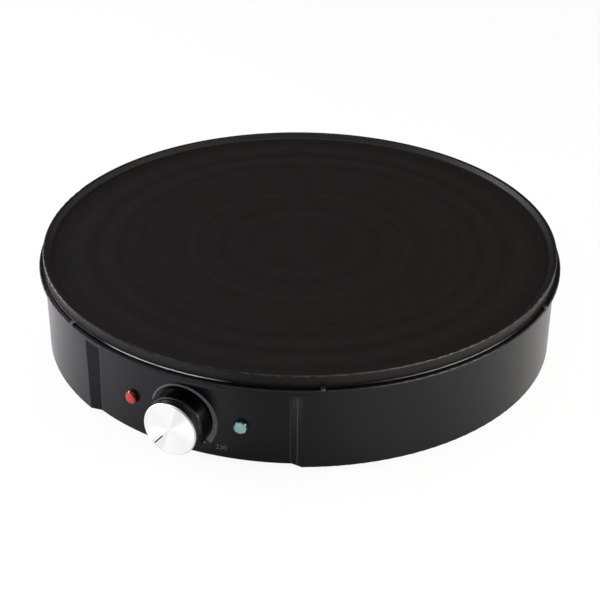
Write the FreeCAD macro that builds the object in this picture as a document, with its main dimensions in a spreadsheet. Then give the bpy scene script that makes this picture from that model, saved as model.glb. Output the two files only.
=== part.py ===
import FreeCAD, Part
import math
import os
from types import SimpleNamespace

import Sketcher

# Electric crepe maker: a rimmed non-stick plate on a low round housing with a recessed control
# panel, a temperature knob and two lamps. It stands on Z = 0 about the Z axis, the plate's axis.
# Each piece is drawn with the controls towards +X and is then turned so that they face -Y.

# Sizes are in millimetres and degrees.
SIZES = {
    # The stack, from the table up
    "foot_proud": 4.0,
    "housing_height": 49.8,
    "ring_thickness": 1.8,
    "pad_height": 0.5,
    "plate_side_height": 7.6,
    # Cooking plate
    "plate_radius": 153.6,
    "plate_side_draft": 0.8,
    "rim_depth": 3.0,
    "rim_land": 2.3,
    "rim_slope": 2.4,
    "rim_round": 0.7,
    "floor_round": 1.4,
    "web_thickness": 3.4,
    "skirt_wall": 3.4,
    "skirt_slope": 1.5,
    # Channel under the plate and the tube pressed into it
    "element_radius": 96.0,
    "tube_radius": 4.0,
    "tube_gap": 0.3,
    "tube_fit": 0.05,
    "channel_wall": 3.2,
    "channel_lip": 1.2,
    "element_open_angle": 20.0,
    "channel_end_angle": 3.0,
    "tube_bend_radius": 12.0,
    "tube_leg": 3.0,
    "seal_radius": 4.6,
    "seal_length": 5.0,
    "pin_radius": 1.6,
    "pin_length": 11.0,
    # Bosses, sleeves and long screws that hold the stack together
    "boss_circle": 60.0,
    "boss_radius": 6.5,
    "boss_depth": 9.8,
    "long_screw_radius": 2.0,
    "screw_fit": 0.05,
    "long_screw_bite": 7.5,
    "screw_hole_gap": 0.25,
    "hole_spare": 0.5,
    "long_screw_head_radius": 3.8,
    "screw_head_height": 2.6,
    "sleeve_radius": 5.2,
    "tower_wall": 2.6,
    "tower_head_gap": 0.5,
    "tower_roof": 5.0,
    # Heat ring and its pads
    "ring_reach": 2.4,
    "ring_width": 10.0,
    "ring_round": 0.6,
    "pad_width": 6.0,
    "pad_length": 5.0,
    "pad_inset": 0.6,
    "bead_radius": 1.4,
    "bead_height": 1.2,
    "bead_gap": 0.3,
    "first_pad_angle": 30.0,
    # Reflector pan
    "sheet": 0.8,
    "pan_depth": 10.0,
    "pan_lip": 9.2,
    "pan_slope": 7.0,
    "pan_fit": 0.3,
    "leg_hole_radius": 6.8,
    "capillary_hole_radius": 2.5,
    # Housing
    "ring_overhang": 3.1,
    "wall_draft": 0.8,
    "wall": 2.6,
    "wall_round": 2.2,
    "wall_foot_round": 0.5,
    "lip_width": 2.7,
    "ledge_width": 6.0,
    "ledge_thickness": 2.6,
    "flange_width": 20.0,
    "flange_thickness": 2.4,
    # Control panel
    "panel_inset": 4.5,
    "panel_half_angle": 23.8,
    "panel_slant": 38.0,
    "panel_margin": 4.0,
    "panel_cheek": 3.5,
    "step_reach": 14.0,
    "knob_height": 25.2,
    "lamp_height": 26.1,
    "lamp_angle": 13.1,
    "spindle_hole_radius": 4.4,
    # Base cover, its screws and the feet
    "cover_inset": 0.5,
    "cover_thickness": 2.3,
    "cover_gap": 2.8,
    "base_screw_inset": 13.5,
    "base_screw_angle": 60.0,
    "base_screw_radius": 1.6,
    "base_screw_bite": 12.0,
    "base_screw_head_radius": 3.2,
    "base_screw_head_height": 2.0,
    "post_radius": 4.2,
    "post_height": 15.0,
    "vent_length": 22.0,
    "vent_width": 3.4,
    "vent_radius": 88.0,
    "foot_inset": 31.5,
    "foot_angle": 35.0,
    "foot_radius": 9.0,
    "foot_edge": 1.0,
    "foot_neck_radius": 3.8,
    "foot_barb_radius": 4.8,
    "foot_barb_height": 3.2,
    "foot_fit": 0.1,
    # Knob
    "knob_gap": 0.9,
    "knob_length": 13.3,
    "knob_radius": 15.2,
    "knob_skirt_radius": 18.0,
    "knob_back_wall": 2.2,
    "knob_front_wall": 2.6,
    "knob_rim_wall": 1.8,
    "hub_radius": 6.0,
    "cap_radius": 16.0,
    "cap_thickness": 1.0,
    "cap_skirt": 3.0,
    "cap_chamfer": 0.5,
    "cap_wall": 0.7,
    "cap_fit": 0.05,
    "cap_gap": 0.2,
    "spindle_radius": 3.0,
    "spindle_flat": 1.0,
    "spindle_fit": 0.05,
    "spindle_bite": 10.0,
    "flat_lead": 1.0,
    "clip_thickness": 0.4,
    "clip_width": 3.6,
    "clip_length": 9.0,
    "clip_tail": 1.2,
    # Thermostat
    "bracket_offset": 7.5,
    "bracket_thickness": 1.2,
    "bracket_half_width": 22.0,
    "bracket_half_height": 10.5,
    "bracket_screw_offset": 16.0,
    "bracket_screw_radius": 1.5,
    "bracket_screw_bite": 3.9,
    "bracket_head_radius": 2.7,
    "bracket_head_height": 1.8,
    "bracket_boss_radius": 3.6,
    "bushing_radius": 4.5,
    "bushing_length": 5.0,
    "nut_across": 12.0,
    "nut_thickness": 2.2,
    "case_length": 18.0,
    "case_half_width": 11.0,
    "case_half_height": 9.5,
    "case_round": 1.5,
    "spindle_depth": 11.0,
    "push_pin_radius": 1.5,
    "push_pin_length": 9.0,
    "push_pin_gap": 0.1,
    "blade_width": 6.3,
    "blade_thickness": 0.8,
    "blade_length": 8.0,
    "blade_spacing": 12.0,
    # Sensor bulb, its straps and the capillary
    "bulb_radius": 3.0,
    "bulb_length": 70.0,
    "bulb_place": 38.0,
    "strap_thickness": 0.8,
    "strap_width": 7.0,
    "strap_fit": 0.05,
    "strap_foot": 5.0,
    "strap_place": 22.0,
    "capillary_radius": 1.0,
    "capillary_offset": 30.0,
    "capillary_ahead": 8.0,
    "capillary_side": 8.0,
    "capillary_rise": 5.0,
    "capillary_drop": 4.0,
    "capillary_dip": 1.0,
    "capillary_lead": 14.0,
    "capillary_bend": 4.0,
    # Lamps
    "lens_radius": 4.1,
    "lens_proud": 3.0,
    "lens_edge": 1.0,
    "lens_fit": 0.1,
    "lens_length": 9.0,
    "lens_bore_radius": 2.2,
    "lens_bore_depth": 6.0,
    "neon_radius": 2.0,
    "neon_length": 11.0,
    "neon_gap": 0.2,
    "neon_foot_radius": 2.8,
    "neon_foot_length": 3.0,
    "neon_foot_overlap": 1.0,
    "retainer_radius": 6.0,
    "retainer_thickness": 1.0,
    "retainer_gap": 0.9,
    # Cord entry
    "cord_height": 22.0,
    "cord_bore_radius": 3.6,
    "gland_proud": 11.0,
    "gland_collar_radius": 8.6,
    "gland_tip_radius": 6.4,
    "gland_collar": 2.5,
    "gland_neck_radius": 6.0,
    "gland_fit": 0.1,
    "gland_inner": 3.0,
    "gland_hook": 1.2,
    "gland_play": 0.2,
    "gland_seat": 0.1,
    "gland_shoulder": 0.8,
    # Terminal block
    "block_inset": 55.5,
    "block_length": 32.0,
    "block_width": 16.0,
    "block_height": 13.0,
    "block_pitch": 10.0,
    "block_hole_radius": 1.9,
    "block_bore_rise": 5.5,
    "block_screw_radius": 1.7,
    "block_screw_hole": 4.0,
    "block_screw_height": 3.0,
    # Thermal fuse
    "fuse_radius": 2.0,
    "fuse_length": 12.0,
    "fuse_place": 36.0,
    "fuse_lead": 8.0,
    # Wiring
    "wire_radius": 1.3,
    "wire_floor": 14.0,
    "wire_drop": 8.0,
    "wire_lead": 14.0,
    "wire_spread": 26.0,
    "wire_near": 18.0,
    "wire_far": 40.0,
    "wire_bend": 5.0,
    "earth_reach": 19.0,
    "tag_radius": 3.5,
    "tag_thickness": 0.9,
}

FRONT_TURN = -90
UP = FreeCAD.Vector(0, 0, 1)
PAD_COUNT = 6
VENT_COUNT = 12

# Millimetres that a cut runs past the face it opens, and that a pad reaches into what it joins.
PAST = 1.0
JOIN = 0.5


class Size:
    """A size of the sheet, or a formula of such sizes: its present value and its expression."""

    def __init__(self, value, text):
        self.value = value
        self.text = text

    def combine(self, other, sign, value):
        return Size(value, f"({self.text} {sign} {other.text})")

    def __add__(self, other):
        other = size_of(other)
        return self.combine(other, "+", self.value + other.value)

    def __sub__(self, other):
        other = size_of(other)
        return self.combine(other, "-", self.value - other.value)

    def __mul__(self, other):
        other = size_of(other)
        return self.combine(other, "*", self.value * other.value)

    def __truediv__(self, other):
        other = size_of(other)
        return self.combine(other, "/", self.value / other.value)

    def __neg__(self):
        return Size(-self.value, f"(0 - {self.text})")

    def __radd__(self, other):
        return size_of(other) + self

    def __rsub__(self, other):
        return size_of(other) - self


def size_of(number):
    return number if isinstance(number, Size) else Size(float(number), str(number))


def cosine(angle):
    return Size(math.cos(math.radians(angle.value)), f"cos({angle.text})")


def sine(angle):
    return Size(math.sin(math.radians(angle.value)), f"sin({angle.text})")


def around(radius, angle):
    """The X and Y of a point at this radius and angle about the Z axis."""
    radius, angle = size_of(radius), size_of(angle)
    return radius * cosine(angle), radius * sine(angle)


doc = FreeCAD.newDocument("CrepeMaker")
sheet = doc.addObject("Spreadsheet::Sheet", "Sizes")
for row, (alias, number) in enumerate(SIZES.items(), start=1):
    sheet.set(f"A{row}", alias)
    sheet.set(f"B{row}", str(number))
    sheet.setAlias(f"B{row}", alias)
doc.recompute()
s = SimpleNamespace(**{alias: Size(number, f"Sizes.{alias}") for alias, number in SIZES.items()})

# Heights and radii that several pieces share.
wall_bottom = s.foot_proud
wall_top = wall_bottom + s.housing_height
ledge_top = wall_top - s.sheet
ring_top = wall_top + s.ring_thickness
plate_bottom = ring_top + s.pad_height
plate_top = plate_bottom + s.plate_side_height
cooking_height = plate_top - s.rim_depth
web_bottom = cooking_height - s.web_thickness
tube_height = web_bottom - s.tube_gap - s.tube_radius
pan_floor_top = wall_top - s.pan_depth
pan_floor_bottom = pan_floor_top - s.sheet
boss_bottom = web_bottom - s.boss_depth
cover_bottom = wall_bottom + s.cover_inset
cover_top = cover_bottom + s.cover_thickness
flange_top = cover_top + s.flange_thickness
plate_foot_radius = s.plate_radius - s.plate_side_draft
ring_radius = s.plate_radius + s.ring_reach
wall_radius = ring_radius - s.ring_overhang
inner_radius = wall_radius - s.wall_draft - s.wall
rebate_radius = wall_radius - s.lip_width
pan_wall_radius = rebate_radius - s.pan_lip
pan_floor_radius = pan_wall_radius - s.pan_slope
flange_inner_radius = inner_radius - s.flange_width
base_screw_circle = inner_radius - s.base_screw_inset
foot_circle = inner_radius - s.foot_inset
panel_radius = wall_radius - s.panel_inset
panel_inner_radius = panel_radius - s.wall
cover_radius = panel_inner_radius - s.cover_gap
panel_top = wall_top - s.panel_margin
bracket_front = panel_inner_radius - s.bracket_offset + s.bracket_thickness
bracket_back = bracket_front - s.bracket_thickness
spindle_end = bracket_back - s.spindle_depth
knob_back = panel_radius + s.knob_gap
knob_front = knob_back + s.knob_length
spindle_tip = knob_back + s.spindle_bite
block_distance = inner_radius - s.block_inset
block_bore_height = cover_top + s.block_bore_rise
earth_distance = block_distance - s.earth_reach

PIECES = []


def piece(shape_object, label, turn=0.0):
    """Name a finished piece and turn it so that the controls face -Y."""
    shape_object.Label = label
    base = shape_object.Placement.Base
    turned = FreeCAD.Rotation(UP, FRONT_TURN + turn)
    shape_object.Placement = FreeCAD.Placement(base, turned)
    PIECES.append(shape_object)
    return shape_object


def bind(target, **sizes):
    for prop, size in sizes.items():
        target.setExpression(prop, size_of(size).text)


def move(target, x=0, y=0, z=0):
    """Bind a primitive's place to sizes."""
    for letter, size in zip("xyz", (x, y, z)):
        target.setExpression(f"Placement.Base.{letter}", size_of(size).text)


def sketch_on(body, name, plane, raised=None, turn=None):
    """A sketch on one of the body's origin planes, raised along the plane's normal or turned."""
    sketch = body.newObject("Sketcher::SketchObject", name)
    for feature in body.Origin.OriginFeatures:
        if feature.Role == plane:
            sketch.AttachmentSupport = [(feature, "")]
    sketch.MapMode = "FlatFace"
    if turn is not None:
        swing = FreeCAD.Rotation(FreeCAD.Vector(0, 1, 0), size_of(turn).value)
        sketch.AttachmentOffset = FreeCAD.Placement(FreeCAD.Vector(), swing)
    if raised is not None:
        sketch.setExpression("AttachmentOffset.Base.z", size_of(raised).text)
    return sketch


def hold(sketch, kind, line, end, size):
    """Fix one distance of a sketch point from the origin to a size."""
    size = size_of(size)
    index = sketch.addConstraint(Sketcher.Constraint(kind, -1, 1, line, end, size.value))
    sketch.setExpression(f"Constraints[{index}]", size.text)


def draw(sketch, points):
    """Add a closed chain of lines through the points."""
    first = sketch.GeometryCount
    spots = [FreeCAD.Vector(size_of(u).value, size_of(v).value, 0) for u, v in points]
    for start, end in zip(spots, spots[1:] + spots[:1]):
        sketch.addGeometry(Part.LineSegment(start, end))
    for number, (u, v) in enumerate(points):
        line = first + number
        following = first + (number + 1) % len(points)
        sketch.addConstraint(Sketcher.Constraint("Coincident", line, 2, following, 1))
        hold(sketch, "DistanceX", line, 1, u)
        hold(sketch, "DistanceY", line, 1, v)
    return sketch


def draw_circle(sketch, u, v, radius):
    """Add a circle at a point of the sketch."""
    u, v, radius = size_of(u), size_of(v), size_of(radius)
    centre = FreeCAD.Vector(u.value, v.value, 0)
    line = sketch.addGeometry(Part.Circle(centre, UP, radius.value))
    index = sketch.addConstraint(Sketcher.Constraint("Radius", line, radius.value))
    sketch.setExpression(f"Constraints[{index}]", radius.text)
    hold(sketch, "DistanceX", line, 3, u)
    hold(sketch, "DistanceY", line, 3, v)
    return sketch


def plain_body(label):
    return doc.addObject("PartDesign::Body", label)


def new_body(label, turn=0.0):
    return piece(plain_body(label), label, turn)


def revolve(body, name, points, axis="V_Axis", half_angle=None, cut=False):
    """Turn an outline of the XZ plane about the Z axis, or about X with axis H_Axis."""
    sketch = draw(sketch_on(body, f"{name}_outline", "XZ_Plane"), points)
    kind = "PartDesign::Groove" if cut else "PartDesign::Revolution"
    feature = body.newObject(kind, name)
    feature.Profile = sketch
    feature.ReferenceAxis = (sketch, [axis])
    feature.Angle = 360.0
    if half_angle is not None:
        feature.Midplane = True
        bind(feature, Angle=size_of(half_angle) * 2)
    doc.recompute()
    return feature


def extrude(body, name, sketch, length, cut=False, reverse=False, both=False):
    """Pad a sketch along its normal, or cut it away against the normal."""
    feature = body.newObject("PartDesign::Pocket" if cut else "PartDesign::Pad", name)
    feature.Profile = sketch
    feature.Reversed = reverse
    feature.Midplane = both
    before = 0.0 if body.Shape.isNull() else body.Shape.Volume
    bind(feature, Length=length)
    doc.recompute()
    if cut and not body.Shape.Volume < before - 1e-3:
        raise RuntimeError(f"{name} cuts nothing")
    return feature


def dress_edges(body, name, kind, size, wanted):
    """Fillet or chamfer the edges of the body's tip whose middle point is wanted."""
    base = body.Tip
    names = []
    for number, edge in enumerate(base.Shape.Edges, start=1):
        middle = edge.valueAt((edge.FirstParameter + edge.LastParameter) / 2)
        if wanted(edge, middle):
            names.append(f"Edge{number}")
    if not names:
        raise RuntimeError(f"{name} finds no edge")
    feature = body.newObject(f"PartDesign::{kind}", name)
    feature.Base = (base, names)
    bind(feature, **{"Radius" if kind == "Fillet" else "Size": size})
    doc.recompute()
    return feature


def near(value, size, tolerance=0.05):
    return abs(value - size_of(size).value) < tolerance


def on_circle(radius, height):
    """A test for edges that lie on a circle about the Z axis."""
    def wanted(edge, middle):
        return near(math.hypot(middle.x, middle.y), radius) and near(middle.z, height)
    return wanted


def cylinder(name, radius, length, x=0, y=0, z=0, along="Z"):
    """A Part cylinder that starts at a place and runs along an axis."""
    made = doc.addObject("Part::Cylinder", name)
    turns = {"Z": (0, 0), "X": (1, 90), "Y": (2, -90)}
    axis, angle = turns[along]
    axes = [UP, FreeCAD.Vector(0, 1, 0), FreeCAD.Vector(1, 0, 0)]
    made.Placement = FreeCAD.Placement(FreeCAD.Vector(), FreeCAD.Rotation(axes[axis], angle))
    bind(made, Radius=radius, Height=length)
    move(made, x, y, z)
    return made


def block(name, length, width, height, x, y, z):
    """A Part box given by its sides and the place of its lowest corner."""
    made = doc.addObject("Part::Box", name)
    bind(made, Length=length, Width=width, Height=height)
    move(made, x, y, z)
    return made


def fuse(name, shapes):
    made = doc.addObject("Part::MultiFuse", name)
    made.Shapes = shapes
    made.Refine = True
    return made


def cut(name, base, tool):
    made = doc.addObject("Part::Cut", name)
    made.Base = base
    made.Tool = tool
    return made


def group(label, solids, turn=0.0):
    """One solid or several like ones, already in place, under one name."""
    made = doc.addObject("Part::Compound", label)
    made.Links = solids
    return piece(made, label, turn)


def rounded_path(points, bend):
    """A wire of straight runs through the points, joined by tangent arcs of one radius."""
    spots = [FreeCAD.Vector(*[size_of(c).value for c in point]) for point in points]
    edges, start = [], spots[0]
    for before, corner, after in zip(spots, spots[1:], spots[2:]):
        back, forth = (before - corner).normalize(), (after - corner).normalize()
        half = back.getAngle(forth) / 2
        reach = size_of(bend).value / math.tan(half)
        middle = (back + forth).normalize()
        depth = size_of(bend).value * (1 / math.sin(half) - 1)
        enter, leave = corner + back * reach, corner + forth * reach
        edges.append(Part.makeLine(start, enter))
        edges.append(Part.Arc(enter, corner + middle * depth, leave).toShape())
        start = leave
    edges.append(Part.makeLine(start, spots[-1]))
    return Part.Wire(edges)


def tube(label, wire, radius):
    """A solid round tube along a wire of lines and arcs."""
    start = wire.OrderedEdges[0]
    ahead = start.tangentAt(start.FirstParameter)
    mouth = start.valueAt(start.FirstParameter)
    section = Part.Wire(Part.makeCircle(size_of(radius).value, mouth, ahead))
    solid = wire.makePipeShell([section], True, False)
    expected = math.pi * size_of(radius).value ** 2 * wire.Length
    if abs(solid.Volume - expected) > 0.02 * expected:
        raise RuntimeError(f"{label} has volume {solid.Volume:.0f}, not {expected:.0f}")
    made = doc.addObject("Part::Feature", label)
    made.Shape = solid
    return piece(made, label)


def make_plate():
    """The cast plate: rimmed disc, channel for the heating tube and three screw bosses."""
    plate = new_body("cooking_plate")
    skirt_inner = plate_foot_radius - s.skirt_wall
    land_inner = s.plate_radius - s.rim_land
    revolve(plate, "plate_disc", [
        (0, web_bottom), (skirt_inner - s.skirt_slope, web_bottom), (skirt_inner, plate_bottom),
        (plate_foot_radius, plate_bottom), (s.plate_radius, plate_top), (land_inner, plate_top),
        (land_inner - s.rim_slope, cooking_height), (0, cooking_height)])
    dress_edges(plate, "rim_rounding", "Fillet", s.rim_round, on_circle(s.plate_radius, plate_top))
    dress_edges(plate, "land_rounding", "Fillet", s.rim_round, on_circle(land_inner, plate_top))
    dress_edges(plate, "floor_rounding", "Fillet", s.floor_round,
                on_circle(land_inner - s.rim_slope, cooking_height))
    channel_half = s.tube_radius + s.channel_wall
    channel_bottom = tube_height - s.channel_lip
    half_angle = 180 - s.element_open_angle - s.channel_end_angle
    revolve(plate, "channel", [
        (s.element_radius - channel_half, channel_bottom),
        (s.element_radius + channel_half, channel_bottom),
        (s.element_radius + channel_half, web_bottom + JOIN),
        (s.element_radius - channel_half, web_bottom + JOIN)], half_angle=half_angle)
    groove_half = s.tube_radius + s.tube_fit
    sketch = sketch_on(plate, "groove_outline", "XZ_Plane")
    draw_circle(sketch, s.element_radius, tube_height, groove_half)
    groove = plate.newObject("PartDesign::Groove", "tube_groove")
    groove.Profile = sketch
    groove.ReferenceAxis = (sketch, ["V_Axis"])
    groove.Angle = 360.0
    doc.recompute()
    revolve(plate, "groove_mouth", [
        (s.element_radius - groove_half, channel_bottom - PAST),
        (s.element_radius + groove_half, channel_bottom - PAST),
        (s.element_radius + groove_half, tube_height),
        (s.element_radius - groove_half, tube_height)], cut=True)
    sketch = sketch_on(plate, "boss_circles", "XY_Plane", raised=boss_bottom)
    for angle in screw_angles():
        draw_circle(sketch, *around(s.boss_circle, angle), s.boss_radius)
    extrude(plate, "bosses", sketch, s.boss_depth + JOIN)
    sketch = sketch_on(plate, "boss_holes_outline", "XY_Plane", raised=boss_bottom)
    for angle in screw_angles():
        draw_circle(sketch, *around(s.boss_circle, angle), s.long_screw_radius + s.screw_fit)
    extrude(plate, "boss_holes", sketch, s.long_screw_bite + s.hole_spare, cut=True, reverse=True)


def screw_angles():
    """Where the three long screws stand about the Z axis."""
    return [60, 180, 300]


def make_element():
    """The bent heating tube, its ceramic seals and its terminal pins."""
    radius = s.element_radius.value
    open_angle = math.radians(180 - s.element_open_angle.value)
    bend = s.tube_bend_radius.value
    height = tube_height.value
    ring_start = FreeCAD.Vector(radius * math.cos(open_angle), radius * math.sin(open_angle), height)
    ring_end = FreeCAD.Vector(ring_start.x, -ring_start.y, height)
    ahead = FreeCAD.Vector(-math.sin(open_angle), math.cos(open_angle), 0)

    def leg(start, direction):
        """The quarter bend down from the ring and the straight leg under it."""
        centre = start - UP * bend
        half = centre + (direction + UP) * (bend / math.sqrt(2))
        corner = centre + direction * bend
        foot = corner - UP * s.tube_leg.value
        return Part.Arc(start, half, corner).toShape(), Part.makeLine(corner, foot), foot

    behind = FreeCAD.Vector(ahead.x, -ahead.y, 0)
    first_bend, first_leg, first_foot = leg(ring_start, ahead)
    last_bend, last_leg, last_foot = leg(ring_end, behind)
    ring = Part.Arc(ring_start, FreeCAD.Vector(radius, 0, height), ring_end).toShape()
    edges = [first_leg, first_bend, ring, last_bend, last_leg]
    tube("heating_element", Part.Wire(Part.sortEdges(edges)[0]), s.tube_radius)
    seals, pins = [], []
    for number, foot in enumerate((first_foot, last_foot), start=1):
        low = foot.z - s.seal_length.value
        seals.append(cylinder(f"seal_{number}", s.seal_radius, s.seal_length, foot.x, foot.y, low))
        bottom = low - s.pin_length.value
        pins.append(cylinder(f"pin_{number}", s.pin_radius, s.pin_length, foot.x, foot.y, bottom))
    group("element_seals", seals)
    group("element_pins", pins)
    return first_foot, last_foot


def make_long_screws():
    """Three screws from the base cover's towers up into the plate, with sleeves on the pan."""
    head_top = pan_floor_bottom - s.tower_roof
    screws, sleeves = [], []
    for number, angle in enumerate(screw_angles(), start=1):
        x, y = around(s.boss_circle, angle)
        head = cylinder(f"long_head_{number}", s.long_screw_head_radius, s.screw_head_height,
                        x, y, head_top - s.screw_head_height)
        reach = boss_bottom + s.long_screw_bite - head_top
        shank = cylinder(f"long_shank_{number}", s.long_screw_radius, reach, x, y, head_top)
        screws.append(fuse(f"long_screw_{number}", [head, shank]))
        length = boss_bottom - pan_floor_top
        outer = cylinder(f"sleeve_outer_{number}", s.sleeve_radius, length, x, y, pan_floor_top)
        bore = cylinder(f"sleeve_bore_{number}", s.long_screw_radius + s.screw_hole_gap, length,
                        x, y, pan_floor_top)
        sleeves.append(cut(f"sleeve_{number}", outer, bore))
    group("hold_down_screws", screws)
    group("pan_sleeves", sleeves)


def make_pan(element_feet):
    """The pressed steel reflector that hangs from the housing's rebate."""
    pan = new_body("reflector_pan")
    flange_radius = rebate_radius - s.pan_fit
    revolve(pan, "pan_sheet", [
        (0, pan_floor_bottom), (pan_floor_radius, pan_floor_bottom),
        (pan_wall_radius, ledge_top), (flange_radius, ledge_top), (flange_radius, wall_top),
        (pan_wall_radius - s.sheet, wall_top), (pan_floor_radius - s.sheet, pan_floor_top),
        (0, pan_floor_top)])
    sketch = sketch_on(pan, "pan_holes_outline", "XY_Plane", raised=pan_floor_top)
    for angle in screw_angles():
        draw_circle(sketch, *around(s.boss_circle, angle), s.long_screw_radius + s.screw_hole_gap)
    for foot in element_feet:
        draw_circle(sketch, foot.x, foot.y, s.leg_hole_radius)
    draw_circle(sketch, *capillary_drop(), s.capillary_hole_radius)
    for side in (1, -1):
        draw_circle(sketch, -s.fuse_place, fuse_drop() * side, s.capillary_hole_radius)
    extrude(pan, "pan_holes", sketch, s.sheet + PAST, cut=True)


def capillary_drop():
    """Where the capillary passes down through the reflector pan."""
    return s.bulb_place + s.capillary_offset, s.bulb_length / 2 + s.capillary_ahead


def make_ring():
    """The black heat ring on the housing's top edge and the pads that carry the plate."""
    ring = new_body("heat_ring")
    inner = ring_radius - s.ring_width
    revolve(ring, "ring_section", [
        (inner, wall_top), (ring_radius, wall_top), (ring_radius, ring_top), (inner, ring_top)])
    dress_edges(ring, "ring_edges", "Fillet", s.ring_round,
                lambda edge, middle: near(math.hypot(middle.x, middle.y), ring_radius))
    pads = []
    seat = plate_foot_radius - s.pad_length - s.pad_inset
    bead_place = plate_foot_radius + s.bead_gap + s.bead_radius
    for number in range(PAD_COUNT):
        turn = s.first_pad_angle.value + 360 / PAD_COUNT * number
        pad = block(f"pad_block_{number}", s.pad_length, s.pad_width, s.pad_height,
                    seat, -s.pad_width / 2, ring_top)
        bead = cylinder(f"pad_bead_{number}", s.bead_radius, s.bead_height,
                        bead_place, 0, ring_top)
        neck = block(f"pad_neck_{number}", bead_place - seat, s.bead_radius,
                     s.pad_height, seat, -s.bead_radius / 2, ring_top)
        joined = fuse(f"pad_{number}", [pad, bead, neck])
        joined.Placement = FreeCAD.Placement(FreeCAD.Vector(), FreeCAD.Rotation(UP, turn))
        pads.append(joined)
    group("plate_pads", pads)


def make_housing():
    """The round housing wall with its recessed control panel, ledge, flange and posts."""
    housing = new_body("housing_shell")
    ledge_bottom = ledge_top - s.ledge_thickness
    revolve(housing, "shell_section", [
        (wall_radius - s.wall_draft, wall_bottom), (wall_radius, wall_top),
        (rebate_radius, wall_top), (rebate_radius, ledge_top),
        (inner_radius - s.ledge_width, ledge_top), (inner_radius - s.ledge_width, ledge_bottom),
        (inner_radius, ledge_bottom), (inner_radius, flange_top),
        (flange_inner_radius, flange_top), (flange_inner_radius, cover_top),
        (inner_radius, cover_top), (inner_radius, wall_bottom)])
    sketch = sketch_on(housing, "posts_outline", "XY_Plane", raised=flange_top - JOIN)
    for angle in base_screw_angles():
        draw_circle(sketch, *around(base_screw_circle, angle), s.post_radius)
    extrude(housing, "posts", sketch, s.post_height + JOIN)
    sketch = sketch_on(housing, "post_holes_outline", "XY_Plane", raised=cover_top - PAST)
    for angle in base_screw_angles():
        draw_circle(sketch, *around(base_screw_circle, angle), s.base_screw_radius + s.screw_fit)
    hole_depth = s.base_screw_bite + s.hole_spare
    extrude(housing, "post_holes", sketch, hole_depth + PAST, cut=True, reverse=True)
    dress_edges(housing, "top_rounding", "Fillet", s.wall_round, on_circle(wall_radius, wall_top))
    dress_edges(housing, "foot_rounding", "Fillet", s.wall_foot_round,
                on_circle(wall_radius - s.wall_draft, wall_bottom))
    revolve(housing, "panel_backing", [
        (panel_inner_radius, wall_bottom), (inner_radius + JOIN, wall_bottom),
        (inner_radius + JOIN, ledge_bottom + JOIN), (panel_inner_radius, ledge_bottom + JOIN)],
        half_angle=s.panel_half_angle + s.panel_cheek)
    beyond = wall_radius + PAST
    revolve(housing, "panel_recess", [
        (panel_radius, wall_bottom - PAST), (beyond, wall_bottom - PAST), (beyond, panel_top),
        (panel_radius, panel_top)], half_angle=s.panel_half_angle, cut=True)
    sketch = sketch_on(housing, "panel_steps_outline", "XY_Plane", raised=panel_top)
    flare = s.panel_half_angle + s.panel_slant
    corner_x, corner_y = around(panel_radius, s.panel_half_angle)
    far_x, far_y = around(panel_radius + s.step_reach, s.panel_half_angle)
    step_x, step_y = around(s.step_reach, flare)
    for side in (1, -1):
        draw(sketch, [(corner_x, corner_y * side), (far_x, far_y * side),
                      (corner_x + step_x, (corner_y + step_y) * side)])
    extrude(housing, "panel_steps", sketch, s.housing_height + PAST, cut=True)
    sketch = sketch_on(housing, "bracket_bosses_outline", "YZ_Plane", raised=bracket_front)
    for side in (1, -1):
        draw_circle(sketch, s.bracket_screw_offset * side, s.knob_height, s.bracket_boss_radius)
    boss_length = panel_radius - s.wall / 2 - bracket_front
    extrude(housing, "bracket_bosses", sketch, boss_length)
    sketch = sketch_on(housing, "bracket_holes_outline", "YZ_Plane", raised=bracket_front - PAST)
    for side in (1, -1):
        draw_circle(sketch, s.bracket_screw_offset * side, s.knob_height,
                    s.bracket_screw_radius + s.screw_fit)
    hole_depth = s.bracket_screw_bite + s.hole_spare
    extrude(housing, "bracket_holes", sketch, hole_depth + PAST, cut=True, reverse=True)
    openings = [("spindle_hole", 0, s.knob_height, s.spindle_hole_radius),
                ("red_lamp_hole", -s.lamp_angle, s.lamp_height, s.lens_radius + s.lens_fit),
                ("green_lamp_hole", s.lamp_angle, s.lamp_height, s.lens_radius + s.lens_fit),
                ("gland_hole", 180, s.cord_height, s.gland_neck_radius + s.gland_fit)]
    for name, turn, height, radius in openings:
        sketch = sketch_on(housing, f"{name}_outline", "YZ_Plane", turn=turn)
        draw_circle(sketch, 0, height, radius)
        extrude(housing, name, sketch, wall_radius + PAST, cut=True, reverse=True)


def base_screw_angles():
    """Where the four screws of the base cover stand."""
    angle = s.base_screw_angle
    return [angle, 180 - angle, 180 + angle, 360 - angle]


def foot_spots():
    """The four feet's names and angles."""
    angle = s.foot_angle
    return {"front_left": 360 - angle, "front_right": angle,
            "rear_right": 180 - angle, "rear_left": 180 + angle}


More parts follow.
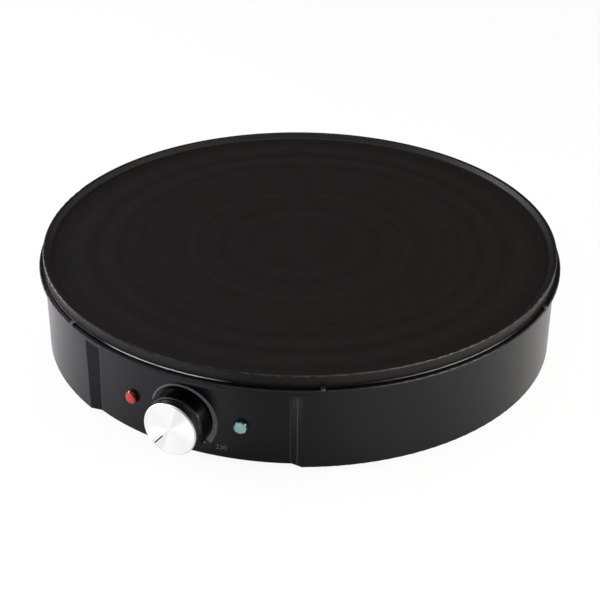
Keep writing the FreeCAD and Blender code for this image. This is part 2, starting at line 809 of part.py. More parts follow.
def make_cover():
    """The base cover with its screw towers, holes and vents."""
    cover = new_body("base_cover")
    sketch = sketch_on(cover, "cover_outline", "XY_Plane", raised=cover_bottom)
    draw_circle(sketch, 0, 0, cover_radius)
    extrude(cover, "cover_disc", sketch, s.cover_thickness)
    sketch = sketch_on(cover, "towers_outline", "XY_Plane", raised=cover_bottom)
    tower_bore = s.long_screw_head_radius + s.tower_head_gap
    for angle in screw_angles():
        draw_circle(sketch, *around(s.boss_circle, angle), tower_bore + s.tower_wall)
    extrude(cover, "towers", sketch, pan_floor_bottom - cover_bottom)
    sketch = sketch_on(cover, "tower_bores_outline", "XY_Plane", raised=cover_bottom - PAST)
    for angle in screw_angles():
        draw_circle(sketch, *around(s.boss_circle, angle), tower_bore)
    bore_length = pan_floor_bottom - s.tower_roof - cover_bottom + PAST
    extrude(cover, "tower_bores", sketch, bore_length, cut=True, reverse=True)
    sketch = sketch_on(cover, "cover_holes_outline", "XY_Plane", raised=cover_bottom - PAST)
    for angle in screw_angles():
        draw_circle(sketch, *around(s.boss_circle, angle), s.long_screw_radius + s.screw_hole_gap)
    for angle in base_screw_angles():
        draw_circle(sketch, *around(base_screw_circle, angle), s.base_screw_radius + s.screw_hole_gap)
    for angle in foot_spots().values():
        draw_circle(sketch, *around(foot_circle, angle), s.foot_neck_radius + s.foot_fit)
    extrude(cover, "cover_holes", sketch, pan_floor_bottom, cut=True, reverse=True)
    sketch = sketch_on(cover, "vent_outline", "XY_Plane", raised=cover_bottom - PAST)
    inner, outer = s.vent_radius - s.vent_length / 2, s.vent_radius + s.vent_length / 2
    half = s.vent_width / 2
    draw(sketch, [(inner, -half), (outer, -half), (outer, half), (inner, half)])
    vent = extrude(cover, "vent", sketch, s.cover_thickness + PAST * 2, cut=True, reverse=True)
    vents = cover.newObject("PartDesign::PolarPattern", "vents")
    vents.Originals = [vent]
    vents.Axis = (sketch, ["N_Axis"])
    vents.Angle = 360
    vents.Occurrences = VENT_COUNT
    cover.Tip = vents
    doc.recompute()


def make_feet():
    """Four rubber feet pushed into the base cover."""
    neck_top = cover_top
    for corner, angle in foot_spots().items():
        foot = new_body(f"foot_{corner}", turn=angle.value)
        foot.Placement.Base = foot.Placement.Rotation.multVec(
            FreeCAD.Vector(foot_circle.value, 0, 0))
        revolve(foot, f"foot_section_{corner}", [
            (0, 0), (s.foot_radius, 0), (s.foot_radius, cover_bottom),
            (s.foot_neck_radius, cover_bottom), (s.foot_neck_radius, neck_top),
            (s.foot_barb_radius, neck_top), (s.foot_neck_radius, neck_top + s.foot_barb_height),
            (0, neck_top + s.foot_barb_height)])
        dress_edges(foot, f"foot_edge_{corner}", "Fillet", s.foot_edge,
                    on_circle(s.foot_radius, 0))


def make_base_screws():
    """Four screws that fasten the cover to the housing's posts."""
    screws = []
    for number, angle in enumerate(base_screw_angles(), start=1):
        x, y = around(base_screw_circle, angle)
        head_bottom = cover_bottom - s.base_screw_head_height
        head = cylinder(f"base_head_{number}", s.base_screw_head_radius, s.base_screw_head_height,
                        x, y, head_bottom)
        shank = cylinder(f"base_shank_{number}", s.base_screw_radius,
                         s.base_screw_bite + s.cover_thickness, x, y, cover_bottom)
        screws.append(fuse(f"base_screw_{number}", [head, shank]))
    group("base_screws", screws)


def raise_to(target, height):
    """Lift a piece drawn about the X axis to its height above the table."""
    move(target, z=height)


def make_knob():
    """The knob's body, its metal cap, the spring clip and the thermostat's spindle."""
    knob = plain_body("knob_form")
    inner_front = knob_front - s.knob_front_wall
    cap_back = knob_front - s.cap_skirt
    cap_inner = s.cap_radius - s.cap_wall
    revolve(knob, "knob_section", [
        (knob_back, 0), (knob_back, s.hub_radius), (inner_front, s.hub_radius),
        (inner_front, s.knob_radius - s.knob_rim_wall),
        (knob_back, s.knob_skirt_radius - s.knob_rim_wall), (knob_back, s.knob_skirt_radius),
        (cap_back - s.cap_gap, s.knob_radius), (cap_back - s.cap_gap, cap_inner - s.cap_fit),
        (knob_front, cap_inner - s.cap_fit), (knob_front, 0)], axis="H_Axis")
    bore_length = s.spindle_bite + s.hole_spare + PAST
    bore = cylinder("knob_bore", s.spindle_radius + s.spindle_fit, bore_length,
                    knob_back - PAST, 0, 0, along="X")
    flat = block("knob_bore_flat", bore_length, s.spindle_radius * 3,
                 s.spindle_radius, knob_back - PAST, -s.spindle_radius * 1.5,
                 s.spindle_radius - s.spindle_flat + s.clip_thickness + s.spindle_fit)
    body = cut("knob_body", knob, cut("knob_bore_shape", bore, flat))
    raise_to(piece(body, "knob_body"), s.knob_height)

    cap = new_body("knob_cap")
    cap_front = knob_front + s.cap_thickness
    revolve(cap, "cap_section", [
        (knob_front, 0), (knob_front, cap_inner), (cap_back, cap_inner), (cap_back, s.cap_radius),
        (cap_front - s.cap_chamfer, s.cap_radius), (cap_front, s.cap_radius - s.cap_chamfer),
        (cap_front, 0)], axis="H_Axis")
    raise_to(cap, s.knob_height)

    leaf_floor = s.spindle_radius - s.spindle_flat + s.spindle_fit
    leaf_back = knob_back - s.clip_thickness - s.spindle_fit
    leaf = block("clip_leaf", s.clip_length, s.clip_width, s.clip_thickness - s.spindle_fit,
                 leaf_back, -s.clip_width / 2, leaf_floor)
    tail = block("clip_bent_tail", s.clip_thickness, s.clip_width, s.clip_tail,
                 leaf_back, -s.clip_width / 2, leaf_floor)
    raise_to(piece(fuse("clip_strip", [leaf, tail]), "knob_spring_clip"), s.knob_height)

    shaft = cylinder("spindle_shaft", s.spindle_radius, spindle_tip - spindle_end,
                     spindle_end, 0, 0, along="X")
    shaft_flat = block("spindle_flat_cut", s.spindle_bite + s.flat_lead + PAST,
                       s.spindle_radius * 3, s.spindle_radius,
                       knob_back - s.flat_lead, -s.spindle_radius * 1.5,
                       s.spindle_radius - s.spindle_flat)
    raise_to(piece(cut("spindle", shaft, shaft_flat), "thermostat_spindle"), s.knob_height)


def make_thermostat():
    """The thermostat's case with its bushing, nut, bracket, screws, pin and blades."""
    case = block("case_block", s.case_length, s.case_half_width * 2, s.case_half_height * 2,
                 bracket_back - s.case_length, -s.case_half_width, -s.case_half_height)
    bushing = cylinder("case_bushing", s.bushing_radius, s.bushing_length + s.bracket_thickness,
                       bracket_back, 0, 0, along="X")
    bore_back = spindle_end - s.hole_spare
    bushing_end = bracket_back + s.bushing_length + s.bracket_thickness
    bore = cylinder("case_bore", s.spindle_radius + s.spindle_fit,
                    bushing_end + PAST - bore_back, bore_back, 0, 0, along="X")
    pin_bore = cylinder("case_pin_bore", s.push_pin_radius + s.spindle_fit, s.case_length,
                        bracket_back - s.case_length, 0, 0, along="X")
    solid = fuse("case_solid", [case, bushing])
    hollow = cut("case_hollow", solid, fuse("case_bores", [bore, pin_bore]))
    rounded = doc.addObject("Part::Fillet", "thermostat_case")
    rounded.Base = hollow
    doc.recompute()
    rounded.Edges = [(number, s.case_round.value, s.case_round.value)
                     for number, edge in enumerate(hollow.Shape.Edges, start=1)
                     if is_case_corner(edge)]
    raise_to(piece(rounded, "thermostat_case"), s.knob_height)

    nut = new_body("bushing_nut")
    sketch = sketch_on(nut, "nut_outline", "YZ_Plane", raised=bracket_front)
    corner = s.nut_across / 2 / cosine(size_of(30))
    draw(sketch, [around(corner, 60 * number) for number in range(6)])
    extrude(nut, "nut_hexagon", sketch, s.nut_thickness)
    sketch = sketch_on(nut, "nut_bore_outline", "YZ_Plane", raised=bracket_front - PAST)
    draw_circle(sketch, 0, 0, s.bushing_radius + s.screw_fit)
    extrude(nut, "nut_bore", sketch, s.nut_thickness + PAST * 2, cut=True, reverse=True)
    raise_to(nut, s.knob_height)

    bracket = new_body("thermostat_bracket")
    sketch = sketch_on(bracket, "bracket_outline", "YZ_Plane", raised=bracket_back)
    draw(sketch, [(-s.bracket_half_width, -s.bracket_half_height),
                  (s.bracket_half_width, -s.bracket_half_height),
                  (s.bracket_half_width, s.bracket_half_height),
                  (-s.bracket_half_width, s.bracket_half_height)])
    extrude(bracket, "bracket_plate", sketch, s.bracket_thickness)
    sketch = sketch_on(bracket, "bracket_holes", "YZ_Plane", raised=bracket_back - PAST)
    draw_circle(sketch, 0, 0, s.bushing_radius + s.screw_hole_gap)
    for side in (1, -1):
        draw_circle(sketch, s.bracket_screw_offset * side, 0,
                    s.bracket_screw_radius + s.screw_hole_gap)
    extrude(bracket, "bracket_bores", sketch, s.bracket_thickness + PAST * 2, cut=True,
            reverse=True)
    raise_to(bracket, s.knob_height)

    screws = []
    for number, side in enumerate((1, -1), start=1):
        y = s.bracket_screw_offset * side
        head = cylinder(f"bracket_head_{number}", s.bracket_head_radius, s.bracket_head_height,
                        bracket_back - s.bracket_head_height, y, s.knob_height, along="X")
        shank = cylinder(f"bracket_shank_{number}", s.bracket_screw_radius,
                         s.bracket_thickness + s.bracket_screw_bite,
                         bracket_back, y, s.knob_height, along="X")
        screws.append(fuse(f"bracket_screw_{number}", [head, shank]))
    group("bracket_screws", screws)

    pin = cylinder("pin_rod", s.push_pin_radius, s.push_pin_length,
                   spindle_end - s.push_pin_gap - s.push_pin_length, 0, s.knob_height, along="X")
    group("push_pin", [pin])

    blades = []
    case_back = bracket_back - s.case_length
    for number, side in enumerate((1, -1), start=1):
        blades.append(block(f"blade_{number}", s.blade_length, s.blade_thickness, s.blade_width,
                            case_back - s.blade_length,
                            s.blade_spacing / 2 * side - s.blade_thickness / 2,
                            s.knob_height - s.blade_width / 2))
    group("thermostat_blades", blades)


def is_case_corner(edge):
    """Whether an edge of the thermostat's case is one of its four long corners."""
    start, ahead = edge.valueAt(edge.FirstParameter), edge.tangentAt(edge.FirstParameter)
    if not near(abs(start.y), s.case_half_width) or not near(abs(start.z), s.case_half_height):
        return False
    return abs(abs(ahead.x) - 1) < 1e-6


def make_strap(label, radius, width, y_centre, place):
    """A thin strap under the plate that holds a round piece of this radius against it."""
    strap = new_body(label)
    inner = radius + s.strap_fit
    outer = inner + s.strap_thickness
    centre = web_bottom - s.tube_gap - radius
    foot_low = web_bottom - s.strap_thickness
    sketch = sketch_on(strap, f"{label}_outline", "XZ_Plane", raised=-y_centre)
    draw(sketch, [
        (place - outer - s.strap_foot, foot_low), (place - outer, foot_low),
        (place - outer, centre - outer), (place + outer, centre - outer),
        (place + outer, foot_low), (place + outer + s.strap_foot, foot_low),
        (place + outer + s.strap_foot, web_bottom), (place + inner, web_bottom),
        (place + inner, centre - inner), (place - inner, centre - inner),
        (place - inner, web_bottom), (place - outer - s.strap_foot, web_bottom)])
    extrude(strap, f"{label}_strip", sketch, width, both=True)
    return strap


def make_sensor():
    """The bulb under the plate, its two straps and the capillary to the thermostat."""
    height = web_bottom - s.tube_gap - s.bulb_radius
    bulb = cylinder("bulb_tube", s.bulb_radius, s.bulb_length, s.bulb_place,
                    -s.bulb_length / 2, height, along="Y")
    group("sensor_bulb", [bulb])
    make_strap("bulb_strap_left", s.bulb_radius, s.strap_width, -s.strap_place, s.bulb_place)
    make_strap("bulb_strap_right", s.bulb_radius, s.strap_width, s.strap_place, s.bulb_place)
    drop_x, drop_y = capillary_drop()
    case_back = bracket_back - s.case_length
    end_height = s.knob_height + s.capillary_rise
    points = [(s.bulb_place, s.bulb_length / 2, height), (s.bulb_place, drop_y, height),
              (drop_x, drop_y, height - s.capillary_dip),
              (drop_x, drop_y, end_height + s.capillary_drop),
              (case_back - s.capillary_lead, s.capillary_side, end_height),
              (case_back, s.capillary_side, end_height)]
    tube("capillary_tube", rounded_path(points, s.capillary_bend), s.capillary_radius)


def make_lamps():
    """Two pilot lamps: faceted lens, neon tube and push-on retainer."""
    for colour, side in (("red", -1), ("green", 1)):
        turn = s.lamp_angle.value * side
        lens = new_body(f"{colour}_lamp_lens", turn)
        front = panel_radius + s.lens_proud
        back = front - s.lens_length
        depth = back + s.lens_bore_depth
        revolve(lens, f"{colour}_lens_section", [
            (depth, 0), (depth, s.lens_bore_radius), (back, s.lens_bore_radius),
            (back, s.lens_radius), (front - s.lens_edge, s.lens_radius),
            (front, s.lens_radius - s.lens_edge), (front, 0)], axis="H_Axis")
        raise_to(lens, s.lamp_height)
        neon_back = depth - s.neon_gap - s.neon_length
        neon = cylinder(f"{colour}_neon_tube", s.neon_radius, s.neon_length, neon_back, 0, 0,
                        along="X")
        neon_foot = cylinder(f"{colour}_neon_foot", s.neon_foot_radius, s.neon_foot_length,
                             neon_back + s.neon_foot_overlap - s.neon_foot_length, 0, 0, along="X")
        lamp = fuse(f"{colour}_neon", [neon, neon_foot])
        raise_to(piece(lamp, f"{colour}_neon_lamp", turn), s.lamp_height)
        disc_back = panel_inner_radius - s.retainer_thickness - s.retainer_gap
        disc = cylinder(f"{colour}_retainer_disc", s.retainer_radius, s.retainer_thickness,
                        disc_back, 0, 0, along="X")
        bore = cylinder(f"{colour}_retainer_bore", s.lens_radius + s.screw_fit,
                        s.retainer_thickness + PAST * 2, disc_back - PAST, 0, 0, along="X")
        retainer = cut(f"{colour}_lamp_retainer", disc, bore)
        raise_to(piece(retainer, f"{colour}_lamp_retainer", turn), s.lamp_height)


def make_cord_entry():
    """The cord's gland in the rear wall."""
    gland = new_body("cord_gland", turn=180)
    wall_inside = inner_radius - s.gland_play
    collar_back = wall_radius + s.gland_seat
    collar_front = collar_back + s.gland_collar
    tip = wall_radius + s.gland_proud
    hook_radius = s.gland_neck_radius + s.gland_hook
    revolve(gland, "gland_section", [
        (wall_inside - s.gland_inner, s.cord_bore_radius), (wall_inside - s.gland_inner, hook_radius),
        (wall_inside, hook_radius), (wall_inside, s.gland_neck_radius),
        (collar_back, s.gland_neck_radius), (collar_back, s.gland_collar_radius),
        (collar_front, s.gland_collar_radius),
        (collar_front, s.gland_tip_radius + s.gland_shoulder), (tip, s.gland_tip_radius),
        (tip, s.cord_bore_radius)], axis="H_Axis")
    raise_to(gland, s.cord_height)


def make_terminal_block():
    """The three-way terminal block on the base cover and its screws."""
    x = -block_distance
    base = block("block_body", s.block_width, s.block_length, s.block_height,
                 x - s.block_width / 2, -s.block_length / 2, cover_top)
    holes, screws = [], []
    screw_seat = cover_top + s.block_height - s.block_screw_hole
    for number, step in enumerate((-1, 0, 1), start=1):
        y = s.block_pitch * step
        holes.append(cylinder(f"block_hole_{number}", s.block_hole_radius,
                              s.block_width + PAST * 2, x - s.block_width / 2 - PAST, y,
                              block_bore_height, along="X"))
        holes.append(cylinder(f"screw_hole_{number}", s.block_screw_radius + s.screw_fit,
                              s.block_screw_hole + PAST, x, y, screw_seat))
        screws.append(cylinder(f"terminal_screw_{number}", s.block_screw_radius,
                               s.block_screw_height, x, y, screw_seat))
    piece(cut("terminal_block", base, fuse("block_holes", holes)), "terminal_block")
    group("terminal_screws", screws)


def make_fuse():
    """The thermal fuse strapped under the plate."""
    height = web_bottom - s.tube_gap - s.fuse_radius
    body = cylinder("fuse_case", s.fuse_radius, s.fuse_length, -s.fuse_place,
                    -s.fuse_length / 2, height, along="Y")
    group("thermal_fuse", [body])
    make_strap("fuse_strap", s.fuse_radius, s.strap_width, size_of(0), -s.fuse_place)


def fuse_drop():
    """How far from the middle each lead of the fuse passes down through the pan."""
    return s.fuse_length / 2 + s.fuse_lead


def make_wires(element_feet):
    """The wires between terminal block, thermostat, fuse and heating element, and the earth."""
    floor = s.wire_floor
    block_front = s.block_width / 2 - block_distance
    wire_height = block_bore_height
    case_back = bracket_back - s.case_length
    blade_end = case_back - s.blade_length
    blade_y = s.blade_spacing / 2
    first_foot, last_foot = element_feet
    pin_bottom = first_foot.z - s.seal_length.value - s.pin_length.value
    pin_floor = pin_bottom - s.wire_drop
    side = first_foot.y
    tube("live_wire", rounded_path([
        (block_front, -s.block_pitch, wire_height),
        (block_front + s.wire_lead, -s.block_pitch, wire_height),
        (block_front + s.wire_lead * 2, -s.wire_near, floor), (0, -s.wire_spread, floor),
        (blade_end - s.wire_spread, -s.wire_near, floor),
        (blade_end - s.wire_lead, -blade_y, s.knob_height),
        (blade_end, -blade_y, s.knob_height)], s.wire_bend), s.wire_radius)
    tube("switched_wire", rounded_path([
        (blade_end, blade_y, s.knob_height), (blade_end - s.wire_lead, blade_y, s.knob_height),
        (blade_end - s.wire_spread, s.wire_near, floor), (0, s.wire_spread, floor),
        (-s.wire_far, s.wire_spread, floor), (first_foot.x + s.wire_lead, side, pin_floor),
        (first_foot.x, side, pin_floor), (first_foot.x, side, pin_bottom)], s.wire_bend),
         s.wire_radius)
    fuse_height = web_bottom - s.tube_gap - s.fuse_radius
    fuse_x, fuse_y = -s.fuse_place, fuse_drop()
    halfway = (fuse_height + floor) / 2
    tube("fuse_feed_wire", rounded_path([
        (block_front, s.block_pitch, wire_height),
        (block_front + s.wire_lead, s.block_pitch, wire_height),
        (fuse_x - s.wire_lead, fuse_y, floor), (fuse_x, fuse_y, halfway),
        (fuse_x, fuse_y, fuse_height), (fuse_x, s.fuse_length / 2, fuse_height)],
        s.wire_bend), s.wire_radius)
    tube("fuse_return_wire", rounded_path([
        (fuse_x, -s.fuse_length / 2, fuse_height), (fuse_x, -fuse_y, fuse_height),
        (fuse_x, -fuse_y, halfway), (fuse_x - s.wire_spread, -side, floor),
        (last_foot.x, -side, pin_floor), (last_foot.x, -side, pin_bottom)], s.wire_bend),
         s.wire_radius)
    tag_bottom = pan_floor_bottom - s.tag_thickness
    tube("earth_wire", rounded_path([
        (block_front, 0, wire_height), (-earth_distance, 0, wire_height),
        (-earth_distance, 0, tag_bottom)], s.wire_bend), s.wire_radius)
    group("earth_tag", [cylinder("tag_disc", s.tag_radius, s.tag_thickness,
                                 -earth_distance, 0, tag_bottom)])


def main():
    make_plate()
    element_feet = make_element()
    make_long_screws()
    make_pan(element_feet)
    make_ring()
    make_housing()
    make_cover()
    make_feet()
    make_base_screws()
    make_knob()
    make_thermostat()
    make_sensor()
    make_lamps()
    make_cord_entry()
    make_terminal_block()
    make_fuse()
    make_wires(element_feet)
    doc.recompute()
    for made in doc.Objects:
        if "Invalid" in made.State or "Error" in made.State:
            raise RuntimeError(f"{made.Name} failed: {made.State}")
    os.makedirs("parts", exist_ok=True)
    for made in PIECES:
        if made.Shape.isNull() or not made.Shape.isValid() or not made.Shape.Solids:
            raise RuntimeError(f"{made.Label} has no valid solid")
    for made in PIECES:
        made.Shape.exportStep(f"parts/{made.Label}.step")
        box = made.Shape.BoundBox
        print(f"{made.Label}: {len(made.Shape.Solids)} solid, {made.Shape.Volume / 1000:.2f} cm3,"
              f" x {box.XMin:.1f}..{box.XMax:.1f} y {box.YMin:.1f}..{box.YMax:.1f}"
              f" z {box.ZMin:.1f}..{box.ZMax:.1f}")


main()
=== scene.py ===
"""An electric crepe maker on a pale studio floor.

A rimmed non-stick plate lies on a low round housing. The housing has a recessed panel with a
temperature knob, a printed sweep and two pilot lamps. The shapes with a real size come from the
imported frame. This file gives each of them a finish and adds the pieces that need finer modelling.
"""

import logging
import math
from dataclasses import dataclass
from enum import Enum
from typing import Any, NamedTuple, Sequence

import bmesh
import bpy
from mathutils import Matrix, Vector


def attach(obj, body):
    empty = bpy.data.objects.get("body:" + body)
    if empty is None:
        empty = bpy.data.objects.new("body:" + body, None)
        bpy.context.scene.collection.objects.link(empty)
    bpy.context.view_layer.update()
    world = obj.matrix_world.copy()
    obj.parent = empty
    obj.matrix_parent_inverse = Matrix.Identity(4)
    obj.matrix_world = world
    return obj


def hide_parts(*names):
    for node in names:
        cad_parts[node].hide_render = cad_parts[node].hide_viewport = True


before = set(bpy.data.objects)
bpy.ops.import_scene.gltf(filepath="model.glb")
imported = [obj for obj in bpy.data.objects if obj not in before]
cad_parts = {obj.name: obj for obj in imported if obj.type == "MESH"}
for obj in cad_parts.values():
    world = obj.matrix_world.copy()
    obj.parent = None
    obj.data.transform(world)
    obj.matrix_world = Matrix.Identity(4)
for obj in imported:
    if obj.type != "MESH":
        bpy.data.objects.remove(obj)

LOG = logging.getLogger("crepe_maker")
MM = 0.001
Point = tuple[float, float]
Colour = tuple[float, float, float]
Spot = tuple[float, float, float]
Node = bpy.types.Node
Socket = bpy.types.NodeSocket


class Body(Enum):
    """The bodies that pieces ride on."""

    APPLIANCE = "appliance"
    KNOB = "knob"


class Facing(Enum):
    """Which way a turned piece's own axis points, as its tilt in degrees."""

    FRONT = 90.0
    REAR = -90.0


def shade(colour: Colour, share: float) -> Colour:
    """A colour at a share of its strength."""
    return tuple(share * part for part in colour)


# ---------------------------------------------------------------- shader graphs


class Graph:
    """A short way to place and link shader nodes in one node tree."""

    def __init__(self, tree: bpy.types.NodeTree) -> None:
        """Start with the tree that takes the nodes.

        Args:
            tree: the node tree of a material, a world or a group.
        """
        self.tree = tree

    def add(self, kind: str, inputs: dict[Any, Any] | None = None, **settings: Any) -> Node:
        """Place a node.

        Args:
            kind: the node's type name without its ShaderNode prefix.
            inputs: values or output sockets, by the name or index of an input.
            **settings: properties of the node.

        Returns:
            The new node.
        """
        node = self.tree.nodes.new(kind if kind.startswith("Node") else f"ShaderNode{kind}")
        for key, value in settings.items():
            setattr(node, key, value)
        for key, value in (inputs or {}).items():
            self.feed(value, node.inputs[key])
        return node

    def feed(self, value: Any, socket: Socket) -> None:
        """Link an output socket to an input, or set the input's own value."""
        if isinstance(value, Socket):
            self.tree.links.new(value, socket)
        elif isinstance(value, tuple) and len(value) == 3 and socket.type == "RGBA":
            socket.default_value = (*value, 1.0)
        else:
            socket.default_value = value

    def math(self, operation: str, *values: Any, clamp: bool = False) -> Socket:
        """Combine numbers with a Math node.

        Args:
            operation: the Math node's operation.
            *values: numbers or output sockets.
            clamp: whether to keep the result between 0 and 1.

        Returns:
            The result's socket.
        """
        node = self.add("Math", operation=operation, use_clamp=clamp)
        for number, value in enumerate(values):
            self.feed(value, node.inputs[number])
        return node.outputs[0]

    def noise(self, place: Socket, scale: Any, detail: float = 3.0,
              roughness: float = 0.55) -> Socket:
        """A noise texture's value at a place.

        Args:
            place: the coordinates.
            scale: its scale, in features to the metre.
            detail: how many finer layers it has.
            roughness: how strong the finer layers are.

        Returns:
            The value's socket.
        """
        node = self.add("TexNoise", {"Vector": place, "Scale": scale, "Detail": detail,
                                     "Roughness": roughness})
        return node.outputs["Fac"]

    def spread(self, value: Any, low: Any, high: Any, to_low: Any = 0.0, to_high: Any = 1.0,
               smooth: bool = False) -> Socket:
        """Map a range onto another.

        Args:
            value: the number's socket.
            low: the start of its range.
            high: the end of its range.
            to_low: what the start becomes.
            to_high: what the end becomes.
            smooth: whether the change eases in and out.

        Returns:
            The result's socket.
        """
        node = self.add("MapRange", {0: value, 1: low, 2: high, 3: to_low, 4: to_high},
                        interpolation_type="SMOOTHSTEP" if smooth else "LINEAR")
        return node.outputs[0]

    def blend(self, share: Any, first: Any, second: Any) -> Socket:
        """Mix two colours.

        Args:
            share: how much of the second colour shows.
            first: a colour or its socket.
            second: a colour or its socket.

        Returns:
            The colour's socket.
        """
        node = self.add("Mix", data_type="RGBA")
        for value, number in ((share, 0), (first, 6), (second, 7)):
            self.feed(value, node.inputs[number])
        return node.outputs[2]

    def object_place(self) -> Socket:
        """The coordinates of the piece's own mesh."""
        return self.add("TexCoord").outputs["Object"]

    def radius(self, place: Socket) -> Socket:
        """The distance from the Z axis."""
        parts = self.add("SeparateXYZ", {0: place})
        square = self.math("MULTIPLY", parts.outputs[0], parts.outputs[0])
        both = self.math("MULTIPLY_ADD", parts.outputs[1], parts.outputs[1], square)
        return self.math("SQRT", both)

    def turn(self, place: Socket) -> Socket:
        """The turn about the Z axis away from the front, in radians."""
        parts = self.add("SeparateXYZ", {0: place})
        ahead = self.math("MULTIPLY", parts.outputs[1], -1.0)
        return self.math("ARCTAN2", parts.outputs[0], ahead)

    def sector(self, turn: Socket, reach: Sequence[float], most: float = 1.0) -> Socket:
        """A mask over a stretch of turns, with soft ends.

        Args:
            turn: the turn's socket, in radians.
            reach: the turns in degrees where it starts, is full, begins to fade and ends.
            most: the mask's value where it is full.

        Returns:
            The mask's socket.
        """
        start, full, fade, end = (math.radians(angle) for angle in reach)
        rise = self.spread(turn, start, full, 0.0, most, smooth=True)
        fall = self.spread(turn, fade, end, 1.0, 0.0, smooth=True)
        return self.math("MULTIPLY", rise, fall)


class GroupGraph(Graph):
    """The graph inside a shader group, with what comes in and what goes out."""

    def __init__(self, tree: bpy.types.NodeTree) -> None:
        """Place the two nodes that stand for the group's sides.

        Args:
            tree: the group's node tree.
        """
        super().__init__(tree)
        self.inner, self.outer = self.add("NodeGroupInput"), self.add("NodeGroupOutput")

    def given(self, name: str) -> Socket:
        """The group's input of a name."""
        return self.inner.outputs[name]

    def give(self, name: str, value: Socket) -> None:
        """Put a value out under a name."""
        self.feed(value, self.outer.inputs[name])


@dataclass(frozen=True)
class GroupSocket:
    """One named input or output of a shader group."""

    name: str
    kind: str = "NodeSocketFloat"
    value: float = 0.0


class ShaderGroup:
    """A shader node group that is built once and placed in many materials."""

    name = "group"
    inputs: Sequence[GroupSocket] = ()
    outputs: Sequence[GroupSocket] = ()

    def tree(self) -> bpy.types.NodeTree:
        """The group's tree, made at its first use."""
        found = bpy.data.node_groups.get(self.name)
        if found is not None:
            return found
        tree = bpy.data.node_groups.new(self.name, "ShaderNodeTree")
        for side, sockets in (("INPUT", self.inputs), ("OUTPUT", self.outputs)):
            for socket in sockets:
                made = tree.interface.new_socket(socket.name, in_out=side, socket_type=socket.kind)
                if socket.kind == "NodeSocketFloat":
                    made.default_value = socket.value
        self.fill(GroupGraph(tree))
        return tree

    def fill(self, graph: GroupGraph) -> None:
        """Place the group's nodes."""
        raise NotImplementedError

    def place(self, graph: Graph, **values: Any) -> Node:
        """Put the group in a material.

        Args:
            graph: the material's graph.
            **values: its inputs by name, with spaces written as underscores.

        Returns:
            The group's node.
        """
        node = graph.add("Group")
        node.node_tree = self.tree()
        for name, value in values.items():
            graph.feed(value, node.inputs[name.replace("_", " ")])
        return node


class MouldedGrain(ShaderGroup):
    """The fine pebbled grain of a moulded or coated surface."""

    name = "moulded grain"
    inputs = (GroupSocket("Place", "NodeSocketVector"), GroupSocket("Fineness", value=4000.0),
              GroupSocket("Depth", value=1.0))
    outputs = (GroupSocket("Height"), GroupSocket("Shade"))
    coarseness = 0.16
    coarse_depth = 0.5

    def fill(self, graph: GroupGraph) -> None:
        """Two layers of noise, fine over coarse, as a height and a shade.

        Args:
            graph: the group's graph.
        """
        place, fineness = graph.given("Place"), graph.given("Fineness")
        fine = graph.noise(place, fineness, 2.0)
        coarse = graph.noise(place, graph.math("MULTIPLY", fineness, self.coarseness), 2.0)
        height = graph.math("MULTIPLY_ADD", coarse, self.coarse_depth, fine)
        graph.give("Height", graph.math("MULTIPLY", height, graph.given("Depth")))
        graph.give("Shade", graph.spread(coarse, 0.3, 0.7))


class HandledSheen(ShaderGroup):
    """A roughness that drifts a little over a surface, as cleaning and handling leave it."""

    name = "handled sheen"
    inputs = (GroupSocket("Place", "NodeSocketVector"), GroupSocket("Level", value=0.4),
              GroupSocket("Drift", value=0.05))
    outputs = (GroupSocket("Roughness"),)
    patch_scale = 34.0
    streak_scale = 420.0
    streak_share = 0.35

    def fill(self, graph: GroupGraph) -> None:
        """Broad soft patches with faint fine streaks.

        Args:
            graph: the group's graph.
        """
        place = graph.given("Place")
        patches = graph.spread(graph.noise(place, self.patch_scale, 4.0, 0.6), 0.3, 0.7, -0.7, 0.7)
        streaks = graph.noise(place, self.streak_scale, 2.0)
        both = graph.math("MULTIPLY_ADD", streaks, self.streak_share, patches)
        rough = graph.math("MULTIPLY_ADD", both, graph.given("Drift"), graph.given("Level"))
        graph.give("Roughness", rough)


class EdgeWearAndHighlight(ShaderGroup):
    """A mask along a round edge about the Z axis, for light wear and for painted highlights."""

    name = "edge wear and highlight"
    inputs = (GroupSocket("Place", "NodeSocketVector"), GroupSocket("Radius", value=0.15),
              GroupSocket("Height", value=0.05), GroupSocket("Reach", value=0.001),
              GroupSocket("Patchy", value=1.0))
    outputs = (GroupSocket("Mask"),)
    patch_scale = 260.0

    def fill(self, graph: GroupGraph) -> None:
        """The distance to the edge, broken up by noise.

        Args:
            graph: the group's graph.
        """
        place = graph.given("Place")
        parts = graph.add("SeparateXYZ", {0: place})
        away = graph.math("SUBTRACT", graph.radius(place), graph.given("Radius"))
        above = graph.math("SUBTRACT", parts.outputs[2], graph.given("Height"))
        square = graph.math("MULTIPLY_ADD", above, above, graph.math("MULTIPLY", away, away))
        near = graph.math("DIVIDE", graph.math("SQRT", square), graph.given("Reach"))
        edge = graph.spread(near, 0.0, 1.0, 1.0, 0.0, smooth=True)
        patches = graph.noise(place, self.patch_scale, 4.0, 0.65)
        broken = graph.spread(patches, 0.42, 0.62, -1.0, 0.0)
        whole = graph.math("MULTIPLY_ADD", broken, graph.given("Patchy"), 1.0)
        graph.give("Mask", graph.math("MULTIPLY", edge, whole, clamp=True))


